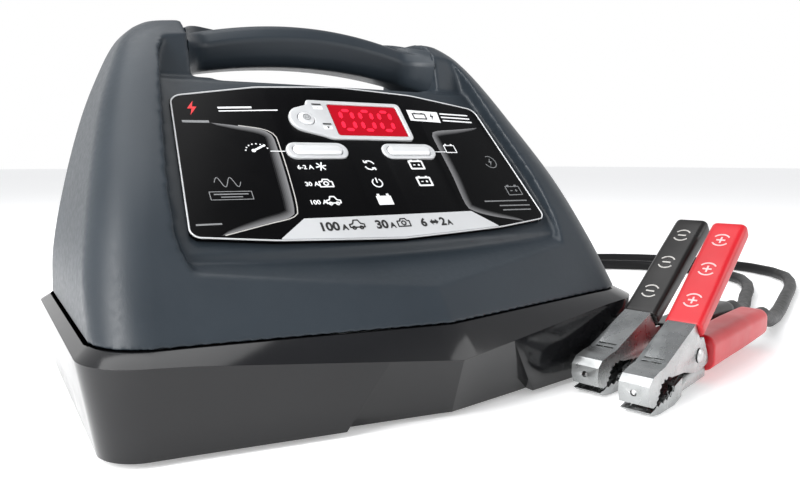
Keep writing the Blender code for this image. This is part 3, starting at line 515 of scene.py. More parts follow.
# %% [markdown]
# The remeshed shell is still solid. A lighter copy of its form, pulled in by the wall, hollows it, and two
# plain holes are made: the panel's window, and the hole behind the fan. Sharp holes come after the remesh.

# %% Upper housing: hollow, panel window and fan hole
WALL, FAN_C = 0.003, (0.058, 0.088)
hollow = upper_form("hollow", [0.0400, 0.0446, 0.0700, 0.1070, 0.1440, 0.1700, 0.1860], WALL)
above_floor = [(0.005, 0.1590), (0.140, 0.1330), (0.140, 0.24), (0.005, 0.24)]
combine(hollow, recess_cutter(WALL + 0.001), plate("hand", above_floor, in_side, -0.0840, 0.0840, slate))
window = plate("window", round_rect(0.104, 0.060, 0.004, 3, 0.0, 0.0755), flat_at(0.0), -0.030, 0.010, slate)
fan_hole = plate("fan_hole", circle(0.0280, 48, *FAN_C), in_front, 0.080, 0.120, slate)
combine(upper_housing, hollow, window, fan_hole)
own(upper_housing, "upper_housing", slot="grey_plastic")

# %% [markdown]
# ## The grip bar
# The bar is a separate moulding that a hand closes round. It arches, steps up a little on both sides of a plain
# middle part, keeps a firm crease along its front, and flares where it meets the shell.

# %% Grip bar
GRIP_Y, GRIP_DEEP, STEP_X, STEP_RUN, FLARE_X = 0.0640, 0.0187, 0.0460, 0.0012, 0.0640


def grip_ring(x):
    """One section: a firm crease in front, and past the step the shell's shoulder laps over its back."""
    past = min(max((abs(x) - STEP_X) / STEP_RUN, 0.0), 1.0)
    spread = max((abs(x) - STEP_X) / (GRIP_HALF - STEP_X), 0.0)
    flare = max((abs(x) - FLARE_X) / (GRIP_HALF - FLARE_X), 0.0) ** 2
    arch = (x / GRIP_HALF) ** 2
    top = 0.2022 - 0.0120 * arch + 0.0040 * flare
    bottom = 0.1765 - 0.0087 * arch - 0.0030 * flare
    front = GRIP_Y - GRIP_DEEP - 0.0165 * flare
    back = GRIP_Y + GRIP_DEEP + 0.0020 * flare
    crease = top - 0.0105 - 0.0030 * flare
    lap = GRIP_Y + 0.0080 - (GRIP_Y + 0.0080 - front - 0.0060) * spread
    shoulder = max(top, (0.1976 - 0.0022 * flare) * past + top * (1.0 - past))
    outline = [
        (back - 0.0060, shoulder), (lap + 0.0008, shoulder - 0.0040 * flare), (lap, top - 0.0045 * flare),
        (front + 0.0052, top - 0.0010 - 0.0070 * flare), (front + 0.0004, crease + 0.0022),
        (front + 0.0002, crease), (front + 0.0042, bottom + 0.0045), (front + 0.0085, bottom),
        (back - 0.0085, bottom), (back - 0.0012, bottom + 0.0080), (back, shoulder - 0.0100),
    ]
    return [(x, y, z) for y, z in soften_outline(outline, 0.0034, 4)]


half_stops = [0.002 * i for i in range(24)] + [STEP_X, STEP_X + 0.0004, STEP_X + STEP_RUN]
half_stops += [0.048 + 0.0016 * i for i in range(20)] + [GRIP_HALF + 0.0006]
xs = sorted({round(side * x, 5) for side in (-1, 1) for x in half_stops})
handle_grip = loft("grip_bar", [grip_ring(x) for x in xs], slate, 24)
own(handle_grip, "handle_grip", slot="grey_plastic")

# %% [markdown]
# ## The base
# The tub under the shell is gloss black. It swells to a crease below the seam and then pulls in towards the
# feet, and a shallow wedge is taken out of its front. Its edges are bevelled, so the soft light draws them.

# %% Base: stations and rings
# A station is half width, centre of the front, back, corner radius, front bow.
BASE_Z, SEAM_Z = 0.0025, 0.0444
BASE_BOTTOM = (0.1490, -0.1105, 0.0985, 0.0200, 0.0205)
BASE_CREASE = (0.1545, -0.1147, 0.1115, 0.0310, 0.0225)
BASE_TOP = (0.1485, -0.1055, 0.1055, 0.0275, 0.0225)
CREASE_LOW, CREASE_HIGH = 0.0295, 0.0400
EXIT_Z, LEAD_EXITS = 0.0225, {"negative": 0.088, "positive": 0.062}
INLET_X, BREAKER_X = -0.084, -0.052
PAD_IN, PAD_OUT, PAD_X, PAD_W, PAD_H = 0.0975, 0.1115, 0.0005, 0.2010, 0.0270
SCREW_POSTS = [(-0.110, -0.0640), (0.110, -0.0640), (-0.110, 0.0975), (0.110, 0.0975)]


def crease_height(x, y):
    """The crease is a shallow V along the front and level along the back."""
    if y > 0.0:
        return CREASE_HIGH
    return CREASE_LOW + (CREASE_HIGH - CREASE_LOW) * min(abs(x) / 0.125, 1.0)


def front_at(station, x):
    half, front, back, radius, bow = station
    return front + bow * abs(x) / (half - radius)


def wedge_cutter():
    """Columns at the left, the middle and the right of the wedge, each a section from front to back."""
    deep, top_x, low_x, low_z = 0.0062, 0.0350, 0.0570, -0.004
    slope = (BASE_CREASE[1] - BASE_BOTTOM[1]) / (CREASE_LOW - BASE_Z)
    columns = []
    for side in (-1, 0, 1):
        tx, lx = side * top_x, side * low_x
        top_y, top_z = front_at(BASE_CREASE, tx) + 0.0001, crease_height(tx, -1) - 0.0002
        low_y = front_at(BASE_BOTTOM, lx) + deep + slope * (low_z - BASE_Z)
        back_edge = [(tx, top_y, top_z), (lx, low_y, low_z)]
        front_edge = [(x, y - 0.03, z) for x, y, z in back_edge]
        columns.append([front_edge[0], *back_edge, front_edge[1]])
    return loft("wedge", columns, base_black)


# %% Base: the tub, its lead pad and its hollow
tub = loft("base_tub", [
    plan_ring(*BASE_BOTTOM, lambda x, y: BASE_Z, 18, 14),
    plan_ring(*BASE_CREASE, crease_height, 18, 14),
    plan_ring(*BASE_TOP, lambda x, y: SEAM_Z - 0.0004, 18, 14),
], base_black)
combine(tub, wedge_cutter())
round_edges(tub, 0.0016, 4, 16)
pad = plate("pad", round_rect(PAD_W, PAD_H, 0.004, 4, PAD_X, EXIT_Z), in_front, PAD_IN, PAD_OUT, base_black)
combine(tub, pad, how="UNION")
inner_rings = []
for (half, front, back, radius, bow), z in (
        (BASE_BOTTOM, 0.0055), (BASE_CREASE, CREASE_HIGH), (BASE_TOP, 0.060)):
    inner = (half - 0.004, front + 0.0105, back - 0.004, radius - 0.003, bow)
    inner_rings.append(plan_ring(*inner, lambda x, y, h=z: h, 6, 3))
hollow = loft("base_hollow", inner_rings, base_black)
core = round_rect(PAD_W - 0.002, PAD_H - 0.002, 0.003, 3, PAD_X, EXIT_Z)
combine(hollow, plate("pad_core", core, in_front, PAD_IN - 0.008, PAD_IN, base_black))
combine(tub, hollow)


# %% Base: round holes and screw posts
def rod(name, radius, start, length, axis, count):
    return turned(name, [(0, radius), (length, radius)], start, axis, base_black, count)


holes = [(x, 0.0073) for x in LEAD_EXITS.values()] + [(INLET_X, 0.0078), (BREAKER_X, 0.0068)]
for x, radius in holes:
    combine(tub, rod("exit", radius, (x, 0.080, EXIT_Z), 0.05, (0, 1, 0), 48))
for x, y in SCREW_POSTS:
    combine(tub, rod("post", 0.0058, (x, y, 0.004), 0.0400, (0, 0, 1), 32), how="UNION")
    combine(tub, rod("sink", 0.0041, (x, y, 0.0), 0.033, (0, 0, 1), 32))
    combine(tub, rod("hole", 0.0021, (x, y, 0.020), 0.03, (0, 0, 1), 24))
tub.data.shade_smooth()
tub.data.set_sharp_from_angle(angle=radians(32))
own(tub, "lower_housing", slot="black_gloss")

# %% [markdown]
# Four rubber feet lift the tub off the bench. They are moulded with a rounded rim and a shallow dish below.

# %% Feet
FOOT_X, FOOT_FRONT, FOOT_REAR, FOOT_W, FOOT_L, FOOT_RIM = 0.1195, -0.064, 0.078, 0.030, 0.022, 0.004
for name, x, y in (("front_left", -FOOT_X, FOOT_FRONT), ("front_right", FOOT_X, FOOT_FRONT),
                   ("rear_left", -FOOT_X, FOOT_REAR), ("rear_right", FOOT_X, FOOT_REAR)):
    outline = round_rect(FOOT_W, FOOT_L, 0.005, 6, x, y)
    foot = plate(f"foot_pad_{name}", outline, in_plan, 0.0, 0.0022, foot_rubber)
    outline = round_rect(FOOT_W - 2 * FOOT_RIM, FOOT_L - 2 * FOOT_RIM, 0.004, 6, x, y)
    combine(foot, plate("dish", outline, in_plan, -0.001, 0.0006, foot_rubber))
    own(round_edges(foot, 0.0005, 3), f"foot_{name}", slot="foot_rubber")

# %% [markdown]
# ## The control panel
# The fascia is a thin moulded plate, bowed about a vertical line. Its rings run across the bow, close together,
# so it reads as one smooth sweep. Holes in the bezels' outlines let them through.

# %% Panel: readings across the bow
PANEL_LOW = [(0.0, 0.0), (0.066, 0.0030), (0.1015, 0.0068), (0.1040, 0.0100)]
PANEL_HIGH = [(0.0, 0.1110), (0.050, 0.1075), (0.0935, 0.0985), (0.0968, 0.0950), (0.1040, 0.0105)]
DISPLAY_C, DISPLAY_W, DISPLAY_H = (0.0104, 0.0834), 0.0445, 0.0238
LOBE_C, LOBE_R, DISPLAY_BUTTON_R = (-0.0281, 0.0832), 0.0095, 0.0046
LONG_X, LONG_V = 0.0283, 0.0600
BEZEL_W, BEZEL_H, BUTTON_W, BUTTON_H = 0.0352, 0.0112, 0.0282, 0.0064
FRAME_FACE, BUTTON_FACE, STRIP_FACE = 0.0011, 0.0021, GAP + 0.0004


def between(table, x):
    """Straight-line reading of a table of (x, value) pairs."""
    for (x0, v0), (x1, v1) in zip(table, table[1:]):
        if x <= x1:
            return v0 + (v1 - v0) * (x - x0) / (x1 - x0)
    return table[-1][1]


def bowed_plate(name, low, high, back, face, look):
    """A plate on the bow: low and high are its edges' heights at each x, back and face its two sides."""
    reach = low[-1][0]
    count = round(reach / 0.001)
    stops = [-reach + 2 * reach * i / count for i in range(count + 1)]
    stops += [side * x for side in (-1, 1) for x, _ in low + high if x < reach]
    rings = []
    for x in sorted({round(x, 5) for x in stops}):
        foot, head = between(low, abs(x)), between(high, abs(x))
        corners = ((foot, back), (head, back), (head, face), (foot, face))
        rings.append([on_panel(x, up, out) for up, out in corners])
    return loft(name, rings, look)


def display_outline(grow=0.0):
    """The display frame: a box with a round lobe on its left for the button."""
    cv = DISPLAY_C[1]
    half_h = 0.0148 + grow
    right, left = 0.0362 + grow, -0.0250 - grow
    points = [(right - 0.0005, cv - half_h), (right, cv + half_h)]
    points += [(left + 0.0010, cv + half_h), (left, cv + half_h - 0.004)]
    points += arc(*LOBE_C, LOBE_R + grow, 118, 242, 24)
    points += [(left + 0.0045, cv - half_h + 0.002), (left + 0.0085, cv - half_h)]
    return soften_outline(points, 0.0036, 5)


fascia = bowed_plate("fascia", PANEL_LOW, PANEL_HIGH, -PANEL_T, 0.0, panel_black)
combine(fascia, plate("hole", display_outline(GAP), flat_at(0.0), -0.006, 0.004, panel_black))
for side in (-1, 1):
    outline = round_rect(BEZEL_W + 2 * GAP, BEZEL_H + 2 * GAP, 0.0055, 8, side * LONG_X, LONG_V)
    combine(fascia, plate("hole", outline, flat_at(LONG_X), -0.006, 0.004, panel_black))
own(round_edges(fascia, 0.0005, 3, 40), "control_panel", slot="black_gloss")

# %% [markdown]
# The silver strip under the panel carries the charging rates, so it is a thin foil that follows the same bow.

# %% Silver strip
STRIP_LOW = [(0.0, 0.0007), (0.0640, 0.0036)]
STRIP_HIGH = [(0.0, 0.0150), (0.0500, 0.0150), (0.0640, 0.0040)]
strip = bowed_plate("silver_strip", STRIP_LOW, STRIP_HIGH, GAP, STRIP_FACE, silver)
own(strip, "rate_strip", slot="silver_trim")

# %% [markdown]
# ## Display and buttons
# A silver frame holds a red pane. The lit segments stand a hair out of the pane, so that they read from every
# side. The long buttons are domed like half cylinders, so each shows one bright line of light.

# %% Display frame and pane
display_frame = plate("display_frame", display_outline(), flat_at(0.0), -0.0030, FRAME_FACE, silver)
opening = round_rect(DISPLAY_W + 2 * GAP, DISPLAY_H + 2 * GAP, 0.0014, 5, *DISPLAY_C)
combine(display_frame, plate("hole", opening, flat_at(0.0), -0.01, 0.01, silver),
        plate("hole", circle(DISPLAY_BUTTON_R + GAP, 48, *LOBE_C), flat_at(0.0), -0.01, 0.01, silver))
own(round_edges(display_frame, 0.0007, 4, 40), "display_bezel", slot="silver_trim")
outline = round_rect(DISPLAY_W, DISPLAY_H, 0.0012, 5, *DISPLAY_C)
# The pane's finish carries the faint painted glow.
pane = plate("display_pane", outline, flat_at(0.0), -0.0028, 0.0006, red_pane_painted_glow, 0.0003)
own(pane, "display_lens", slot="red_lens")


# %% Lit digits
def segment_outlines(cx, cv, wide, high, lean, thick, lit):
    """Seven bars of one digit; lit names the bars that are on."""
    w, h, t = wide / 2, high / 2, thick / 2
    spots = {
        "a": ((-w, h), (w, h)), "b": ((w, h), (w, 0)), "c": ((w, 0), (w, -h)), "d": ((-w, -h), (w, -h)),
        "e": ((-w, 0), (-w, -h)), "f": ((-w, h), (-w, 0)), "g": ((-w, 0), (w, 0)),
    }
    bars = []
    for key in lit:
        (x0, v0), (x1, v1) = spots[key]
        run = Vector((x1 - x0, v1 - v0)).normalized()
        side = Vector((-run.y, run.x))
        start, end = Vector((x0, v0)) + run * 0.9 * t, Vector((x1, v1)) - run * 0.9 * t
        corners = [start, start + run * t + side * t, end - run * t + side * t]
        corners += [end, end - run * t - side * t, start + run * t - side * t]
        bars.append([(cx + p.x + lean * p.y, cv + p.y) for p in corners])
    return bars


def thin_solids(name, outlines, place, low, high, look):
    """Many flat outlines, each a thin solid, as one piece."""
    bm = bmesh.new()
    for outline in outlines:
        rows = [[bm.verts.new(place(a, b, c)) for a, b in outline] for c in (low, high)]
        count = len(outline)
        for i in range(count):
            j = (i + 1) % count
            bm.faces.new((rows[0][i], rows[0][j], rows[1][j], rows[1][i]))
        bm.faces.new(list(reversed(rows[0])))
        bm.faces.new(rows[1])
    return as_piece(bm, name, look, 30)


ZERO = "abcdef"
digits = []
for number in range(3):
    cx = DISPLAY_C[0] - 0.0130 + 0.0124 * number
    digits += segment_outlines(cx, DISPLAY_C[1], 0.0072, 0.0150, 0.10, 0.0023, ZERO)
own(thin_solids("lit_digits", digits, flat_at(0.0), 0.0005, 0.0008, lit_digit), slot="red_lens")
print("lit bars:", len(digits))


# %% Buttons and their bezels
def domed_button(name, cx, width, height, place, top, look):
    """A stadium pressed up in the middle: rings of the outline, drawn in as they rise."""
    rings = []
    for inset, out in ((0.0, -0.0045), (0.0, top - 0.0016), (0.06, top - 0.0011), (0.22, top - 0.0005),
                       (0.45, top - 0.00015), (0.75, top)):
        shrink = inset * height / 2
        radius = (height / 2 - shrink) * 0.98
        outline = round_rect(width - 2 * shrink, height - 2 * shrink, radius, 8, cx, LONG_V)
        rings.append([place(a, b, out) for a, b in outline])
    return loft(name, rings, look, 60)


for name in ("rate_button", "battery_type_button"):
    low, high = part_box(name)
    cx = 0.5 * (low[0] + high[0])
    place = flat_at(LONG_X)
    outline = round_rect(BEZEL_W, BEZEL_H, 0.0055, 10, cx, LONG_V)
    bezel = plate(f"{name}_frame", outline, place, -0.0030, 0.0010, silver)
    outline = round_rect(BUTTON_W + 2 * GAP, BUTTON_H + 2 * GAP, 0.0034, 10, cx, LONG_V)
    combine(bezel, plate("hole", outline, place, -0.01, 0.01, silver))
    own(round_edges(bezel, 0.0008, 4, 40), f"{name}_bezel", slot="silver_trim")
    cap = domed_button(f"{name}_cap", cx, BUTTON_W, BUTTON_H, place, 0.0024, bright_silver)
    own(cap, name, slot="silver_button", body=name)

middle = flat_at(0.0)(*LOBE_C, 0.0)
profile = [(-0.0040, DISPLAY_BUTTON_R), (0.0008, DISPLAY_BUTTON_R), (0.0014, 0.0044), (0.0018, 0.0038),
           (0.0020, 0.0028), (BUTTON_FACE, 0.0014)]
cap = turned("display_button_cap", profile, middle, PANEL_OUT, bright_silver, 48)
own(cap, "display_button", slot="silver_button", body="display_button")

# %% [markdown]
# ## The clamps
# Each clamp is two jaws of folded steel on one rivet, with a coil spring between them and a moulded sleeve on
# each handle. A jaw starts as its side profile, as wide as the clamp; the space inside the fold is then taken
# out, which leaves a top and two cheeks one sheet thick. The teeth are part of the profile.

# %% Clamp profiles: length and height from the nose
# A clamp's place on the bench is x, y and its turn.
CLAMPS = {"negative": (0.0786, -0.1161, radians(12.8)), "positive": (0.0760, -0.1487, radians(15.4))}
CLAMP_W, GRIP_W, SHEET, PIVOT = 0.0150, 0.0195, 0.0014, (0.0561, 0.0185)
TOP_FRONT, TOP_BACK = (0.0120, 0.0218), (0.0492, 0.0362)
UPPER_JAW = [
    (0.0010, 0.0046), (-0.0035, 0.0062), (-0.0050, 0.0110), (-0.0047, 0.0160), (-0.0010, 0.0193),
    (0.0060, 0.0210), TOP_FRONT, TOP_BACK, (0.0548, 0.0286), (0.0562, 0.0270),
    (0.0610, 0.0272), (0.0690, 0.0150), (0.0690, 0.0125), (0.0600, 0.0105), (0.0500, 0.0105),
    (0.0420, 0.0125), (0.0360, 0.0139), (0.0209, 0.0150), (0.0165, 0.0163), (0.0150, 0.0150),
    (0.0122, 0.0160), (0.0115, 0.0143), (0.0085, 0.0145), (0.0092, 0.0128), (0.0066, 0.0118),
    (0.0078, 0.0102), (0.0055, 0.0093), (0.0062, 0.0078), (0.0040, 0.0070), (0.0044, 0.0056),
]
UPPER_INNER = [
    (-0.0018, -0.0100), (-0.0018, 0.0062), (-0.0035, 0.0112), (-0.0032, 0.0153), (-0.0002, 0.0179),
    (0.0064, 0.0195), (0.0124, 0.0202), (0.0560, 0.0371), (0.0800, 0.0500), (0.0800, -0.0100),
]
LOWER_TEETH = [
    (0.0250, 0.0096), (0.0240, 0.0070), (0.0220, 0.0075), (0.0205, 0.0052), (0.0185, 0.0062),
    (0.0165, 0.0045), (0.0140, 0.0058), (0.0115, 0.0042), (0.0090, 0.0056), (0.0065, 0.0040),
    (0.0045, 0.0050), (0.0020, 0.0036), (-0.0025, 0.0030), (0.0000, 0.0012), (0.0080, 0.0000),
    (0.0250, 0.0000), (0.0330, 0.0020),
]
LOWER_HEAD = LOWER_TEETH + [(0.0340, 0.0022), (0.0340, 0.0118)]
LOWER_JAW = LOWER_TEETH + [
    (0.0410, 0.0032), (0.0570, 0.0036), (0.0700, 0.0042), (0.0700, 0.0215), (0.0640, 0.0255),
    (0.0560, 0.0260), (0.0500, 0.0235), (0.0420, 0.0175), (0.0340, 0.0120),
]
LOWER_INNER = [
    (0.0000, 0.0500), (0.0000, 0.0034), (0.0030, 0.0022), (0.0085, 0.0014), (0.0248, 0.0014),
    (0.0332, 0.0034), (0.0412, 0.0046), (0.0572, 0.0050), (0.0800, 0.0060), (0.0800, 0.0500),
]
UPPER_GRIP_LINE = ((0.0531, 0.0323), (0.1175, 0.0796), 0.0047, 0.0053)
LOWER_GRIP_LINE = ((0.0712, 0.0160), (0.1660, 0.0178), 0.0098, 0.0084)


def clamp_frame(name):
    x, y, turn = CLAMPS[name]
    return Matrix.Translation((x, y, 0.0)) @ Matrix.Rotation(turn, 4, "Z")


def clamp_place(name):
    """Places for one clamp, as (along, up, across)."""
    turned_frame = clamp_frame(name)
    return lambda along, up, across: turned_frame @ Vector((along, across, up))


# %% Clamp jaws
def folded(name, outline, inner, half, inner_half, place):
    """A profile as wide as the fold, less the space inside it."""
    body = plate(name, outline, place, -half, half, steel)
    return combine(body, plate("fold", inner, place, -inner_half, inner_half, steel))


def make_jaws(name, body):
    place = clamp_place(name)
    half = CLAMP_W / 2
    top = folded(f"{name}_jaw_hood", UPPER_JAW, UPPER_INNER, half, half - SHEET, place)
    # Two stamped slots cross the hood's flat top, and a round drain hole sits low on its nose.
    run = Vector((TOP_BACK[0] - TOP_FRONT[0], TOP_BACK[1] - TOP_FRONT[1])).normalized()
    rise = Vector((-run.y, run.x))
    slot = [(-0.0007, -0.0035), (0.0007, -0.0035), (0.0007, 0.0030), (-0.0007, 0.0030)]
    for along in (0.0020, 0.0052):
        spot = Vector(TOP_FRONT) + run * along
        corners = [tuple(spot + run * a + rise * b) for a, b in slot]
        combine(top, plate("slot", corners, place, -0.0050, 0.0050, steel))
    forward = place(1, 0, 0) - place(0, 0, 0)
    drain = [(-0.004, 0.0016), (0.004, 0.0016)]
    combine(top, turned("drain", drain, place(-0.0040, 0.0118, 0.0), forward, steel, 32))
    px, pz = PIVOT
    hole = [plate("hole", circle(0.0027, 32, px, pz), place, -0.02, 0.02, steel) for _ in range(2)]
    inner = half - SHEET - 0.0005
    low = folded(f"{name}_jaw_base", LOWER_JAW, LOWER_INNER, inner, inner - SHEET, place)
    combine(low, folded("head", LOWER_HEAD, LOWER_INNER, half, inner - SHEET, place), how="UNION")
    combine(top, hole[0])
    combine(low, hole[1])
    own(round_edges(top, 0.00055, 3, 28), f"{name}_upper_jaw", slot="jaw_steel", body=body)
    own(round_edges(low, 0.00035, 2, 28), f"{name}_lower_jaw", slot="jaw_steel")


for name in CLAMPS:
    make_jaws(name, f"{name}_upper_half")

# %% [markdown]
# The rivet is a turned pin with two domed heads. The spring round it keeps the shape it has in the frame.


# %% Rivets
def make_rivet(name):
    place, half, (px, pz) = clamp_place(name), CLAMP_W / 2, PIVOT
    axis = place(0, 0, 1) - place(0, 0, 0)
    head = [(0.0016, 0.0010), (0.0015, 0.0022), (0.0011, 0.0033), (0.0004, 0.0040), (0.0002, 0.0039),
            (0.0002, 0.0024)]
    profile = [(-half - out, r) for out, r in head] + [(half + out, r) for out, r in reversed(head)]
    pin = turned(f"{name}_pin", profile, place(px, pz, 0.0), axis, rivet_steel, 48)
    own(pin, f"{name}_rivet", slot="zinc_steel")


for name in CLAMPS:
    make_rivet(name)

# %% [markdown]
# The sleeves are soft vinyl over the handles: round at the end and fuller where the fingers go. Rings of a
# rounded rectangle, spaced more closely at the ends, give that. Each clamp's sign stands in low relief on top.


# %% Grip sleeves
def sleeve_point(line, t, b):
    """A point of the side view: t of the way along a sleeve and b off its middle line."""
    (x0, z0), (x1, z1), _, _ = line
    along = Vector((x1 - x0, z1 - z0))
    across = Vector((-along.y, along.x)).normalized()
    return Vector((x0, z0)) + along * t + across * b


def sleeve_half(line, t):
    """Half height of a sleeve at t, with its swell and its rounded end."""
    swell = smooth_read([(0.0, 1.0), (0.30, 1.0), (0.55, 1.06), (0.80, 1.04), (1.0, 1.00)], t)[0]
    return (line[2] + (line[3] - line[2]) * t) * swell


def sleeve_length(line):
    (x0, z0), (x1, z1), _, _ = line
    return Vector((x1 - x0, z1 - z0)).length


def make_sleeve(name, line, node, look, body):
    """Each ring is (place along the sleeve, scale): drawn in a little at the mouth, rounded off at the end."""
    place = clamp_place(name)
    rings = [(0.0, 0.86), (0.004, 0.94), (0.012, 1.0)]
    rings += [(0.03 + 0.91 * i / 26, 1.0) for i in range(27)]
    for k, scale in enumerate((0.985, 0.94, 0.86, 0.72, 0.50)):
        rings.append((0.965 + 0.035 * sin(pi / 2 * (k + 1) / 5), scale))
    loops = []
    for t, scale in rings:
        high = sleeve_half(line, t) * scale
        wide = GRIP_W / 2 * (0.5 + 0.5 * scale)
        ring = []
        for a, b in round_rect(2 * wide, 2 * high, min(wide, high) * 0.62, 7):
            point = sleeve_point(line, t, b)
            ring.append(place(point.x, point.y, a))
        loops.append(ring)
    sleeve = loft(f"{name}_{node}_sleeve", loops, look, 50)
    # The pocket takes the steel handle.
    thick, wide, deep = 0.0021, (0.0065 if node == "upper_grip" else 0.0052), 0.0306 / sleeve_length(line)
    corners = ((-0.02, -thick), (deep, -thick), (deep, thick), (-0.02, thick))
    outline = [tuple(sleeve_point(line, t, b)) for t, b in corners]
    combine(sleeve, plate("pocket", outline, place, -wide, wide, look))
    sleeve.data.set_sharp_from_angle(angle=radians(50))
    return own(sleeve, f"{name}_{node}", slot="red_vinyl" if name == "positive" else "black_vinyl", body=body)


# %% Marks drawn with strokes
def bar(ax, ay, bx, by, thick):
    """A straight stroke with cut ends, as an outline."""
    run = Vector((bx - ax, by - ay))
    side = Vector((-run.y, run.x)).normalized() * thick / 2
    a, b = Vector((ax, ay)), Vector((bx, by))
    return [tuple(a - side), tuple(b - side), tuple(b + side), tuple(a + side)]


def stroke(points, thick, closed=False):
    """A line of even width through points, as short overlapping outlines."""
    pairs = list(zip(points, points[1:])) + ([(points[-1], points[0])] if closed else [])
    out = []
    for (ax, ay), (bx, by) in pairs:
        run = Vector((bx - ax, by - ay))
        if run.length < 1e-7:
            continue
        more = run.normalized() * thick * 0.18
        out.append(bar(ax - more.x, ay - more.y, bx + more.x, by + more.y, thick))
    return out


def make_marks(name, line, look, sign, body):
    """Polarity marks along the top of the upper sleeve, each a sign in round brackets."""
    place, length = clamp_place(name), sleeve_length(line)

    def on_top(a, b, c):
        t = a / length
        point = sleeve_point(line, t, sleeve_half(line, t) + c)
        return place(point.x, point.y, b)

    outlines = []
    for t in (0.20, 0.50, 0.80):
        at = t * length
        outlines += stroke(arc(at, 0.0, 0.0046, 125, 235, 8), 0.0008)
        outlines += stroke(arc(at, 0.0, 0.0046, -55, 55, 8), 0.0008)
        outlines.append(bar(at, -0.0024, at, 0.0024, 0.0009))
        if sign == "plus":
            outlines.append(bar(at - 0.0024, 0.0, at + 0.0024, 0.0, 0.0009))
    marks = thin_solids(f"{name}_marks", outlines, on_top, -0.0002, 0.0002, look)
    own(marks, slot="red_vinyl" if sign == "plus" else "black_vinyl", body=body)


for name, look, ink, sign in (("negative", black_vinyl, pale_grey, "minus"),
                              ("positive", red_vinyl, pale_pink, "plus")):
    half_body = f"{name}_upper_half"
    make_sleeve(name, UPPER_GRIP_LINE, "upper_grip", look, half_body)
    make_sleeve(name, LOWER_GRIP_LINE, "lower_grip", look, ROOT)
    make_marks(name, UPPER_GRIP_LINE, ink, sign, half_body)

# %% [markdown]
# ## The leads
# Each lead is one length of rubber-covered wire. It comes straight out of its strain relief, lies down on the
# bench, curves round behind and beside the charger and goes straight into the boot on its clamp.

# %% Lead routes
LEAD_D, RELIEF_END, BOOT_L = 0.010, 0.1490, 0.0100
FLOOR = LEAD_D / 2 + 0.0002
ROUTES = {
    "positive": [
        (0.068, 0.190, 0.0160), (0.092, 0.222, 0.0075), (0.145, 0.246, FLOOR), (0.210, 0.257, FLOOR),
        (0.290, 0.257, FLOOR), (0.370, 0.245, FLOOR), (0.440, 0.220, FLOOR), (0.492, 0.180, FLOOR),
        (0.520, 0.130, FLOOR), (0.526, 0.078, FLOOR), (0.505, 0.030, FLOOR), (0.455, -0.006, FLOOR),
        (0.395, -0.036, FLOOR), (0.335, -0.065, FLOOR), (0.288, -0.086, 0.0080),
    ],
    "negative": [
        (0.093, 0.185, 0.0165), (0.114, 0.209, 0.0085), (0.160, 0.226, FLOOR), (0.215, 0.232, FLOOR),
        (0.280, 0.226, FLOOR), (0.345, 0.209, FLOOR), (0.405, 0.180, FLOOR), (0.450, 0.138, FLOOR),
        (0.466, 0.090, FLOOR), (0.452, 0.044, FLOOR), (0.415, 0.010, FLOOR), (0.370, -0.016, FLOOR),
        (0.328, -0.041, FLOOR), (0.293, -0.060, 0.0080),
    ],
}


def smooth_path(points, step):
    """Points every step along a smooth curve through the given ones."""
    dense = []
    for i in range(len(points) - 1):
        p0, p1, p2, p3 = points[max(i - 1, 0)], points[i], points[i + 1], points[min(i + 2, len(points) - 1)]
        for k in range(20):
            t = k / 20
            dense.append(0.5 * ((2 * p1) + (p2 - p0) * t + (2 * p0 - 5 * p1 + 4 * p2 - p3) * t * t
                                + (3 * p1 - p0 - 3 * p2 + p3) * t * t * t))
    dense.append(points[-1])
    length = sum((b - a).length for a, b in zip(dense, dense[1:]))
    count = max(2, round(length / step))
    out, walked, target = [dense[0]], 0.0, length / count
    for a, b in zip(dense, dense[1:]):
        part = (b - a).length
        while walked + part >= target * len(out) and len(out) < count:
            out.append(a.lerp(b, (target * len(out) - walked) / part))
        walked += part
    out.append(dense[-1])
    return out


def lead_points(name):
    """A lead's points from its relief to its boot, with the end in the boot and the way it goes in."""
    start = Vector((LEAD_EXITS[name], RELIEF_END + GAP, EXIT_Z))
    turned_frame = clamp_frame(name)
    (x0, z0), (x1, z1), _, _ = LOWER_GRIP_LINE
    along = (turned_frame.to_3x3() @ Vector((x1 - x0, 0.0, z1 - z0))).normalized()
    end = turned_frame @ Vector((x1, 0.0, z1)) + along * (BOOT_L + 2 * GAP)
    first, last = start + Vector((0.0, 0.010, 0.0)), end + along * 0.010
    inner = [first, first + Vector((0.0, 0.008, -0.0008))] + [Vector(p) for p in ROUTES[name]]
    inner += [last + along * 0.008 - Vector((0, 0, 0.0010)), last]
    points = [start] + smooth_path(inner, 0.031) + [end]
    return [Vector((p.x, p.y, max(p.z, FLOOR))) for p in points], end, along


# %% Strain reliefs, boots and leads
def ribbed(start, length, r0, r1, ribs, groove):
    """A tapering sleeve with grooves round it, as (along, radius) pairs."""
    profile = []
    for i in range(ribs):
        t0, t1 = i / ribs, (i + 1) / ribs
        r = r0 + (r1 - r0) * t0
        a, b = start + length * t0, start + length * t1
        profile += [(a, r), (a + 0.60 * (b - a), r - 0.0001)]
        profile += [(a + 0.66 * (b - a), r - groove), (a + 0.94 * (b - a), r - groove)]
    return profile + [(start + length, r1), (start + length + 0.0002, r1 - 0.0004)]


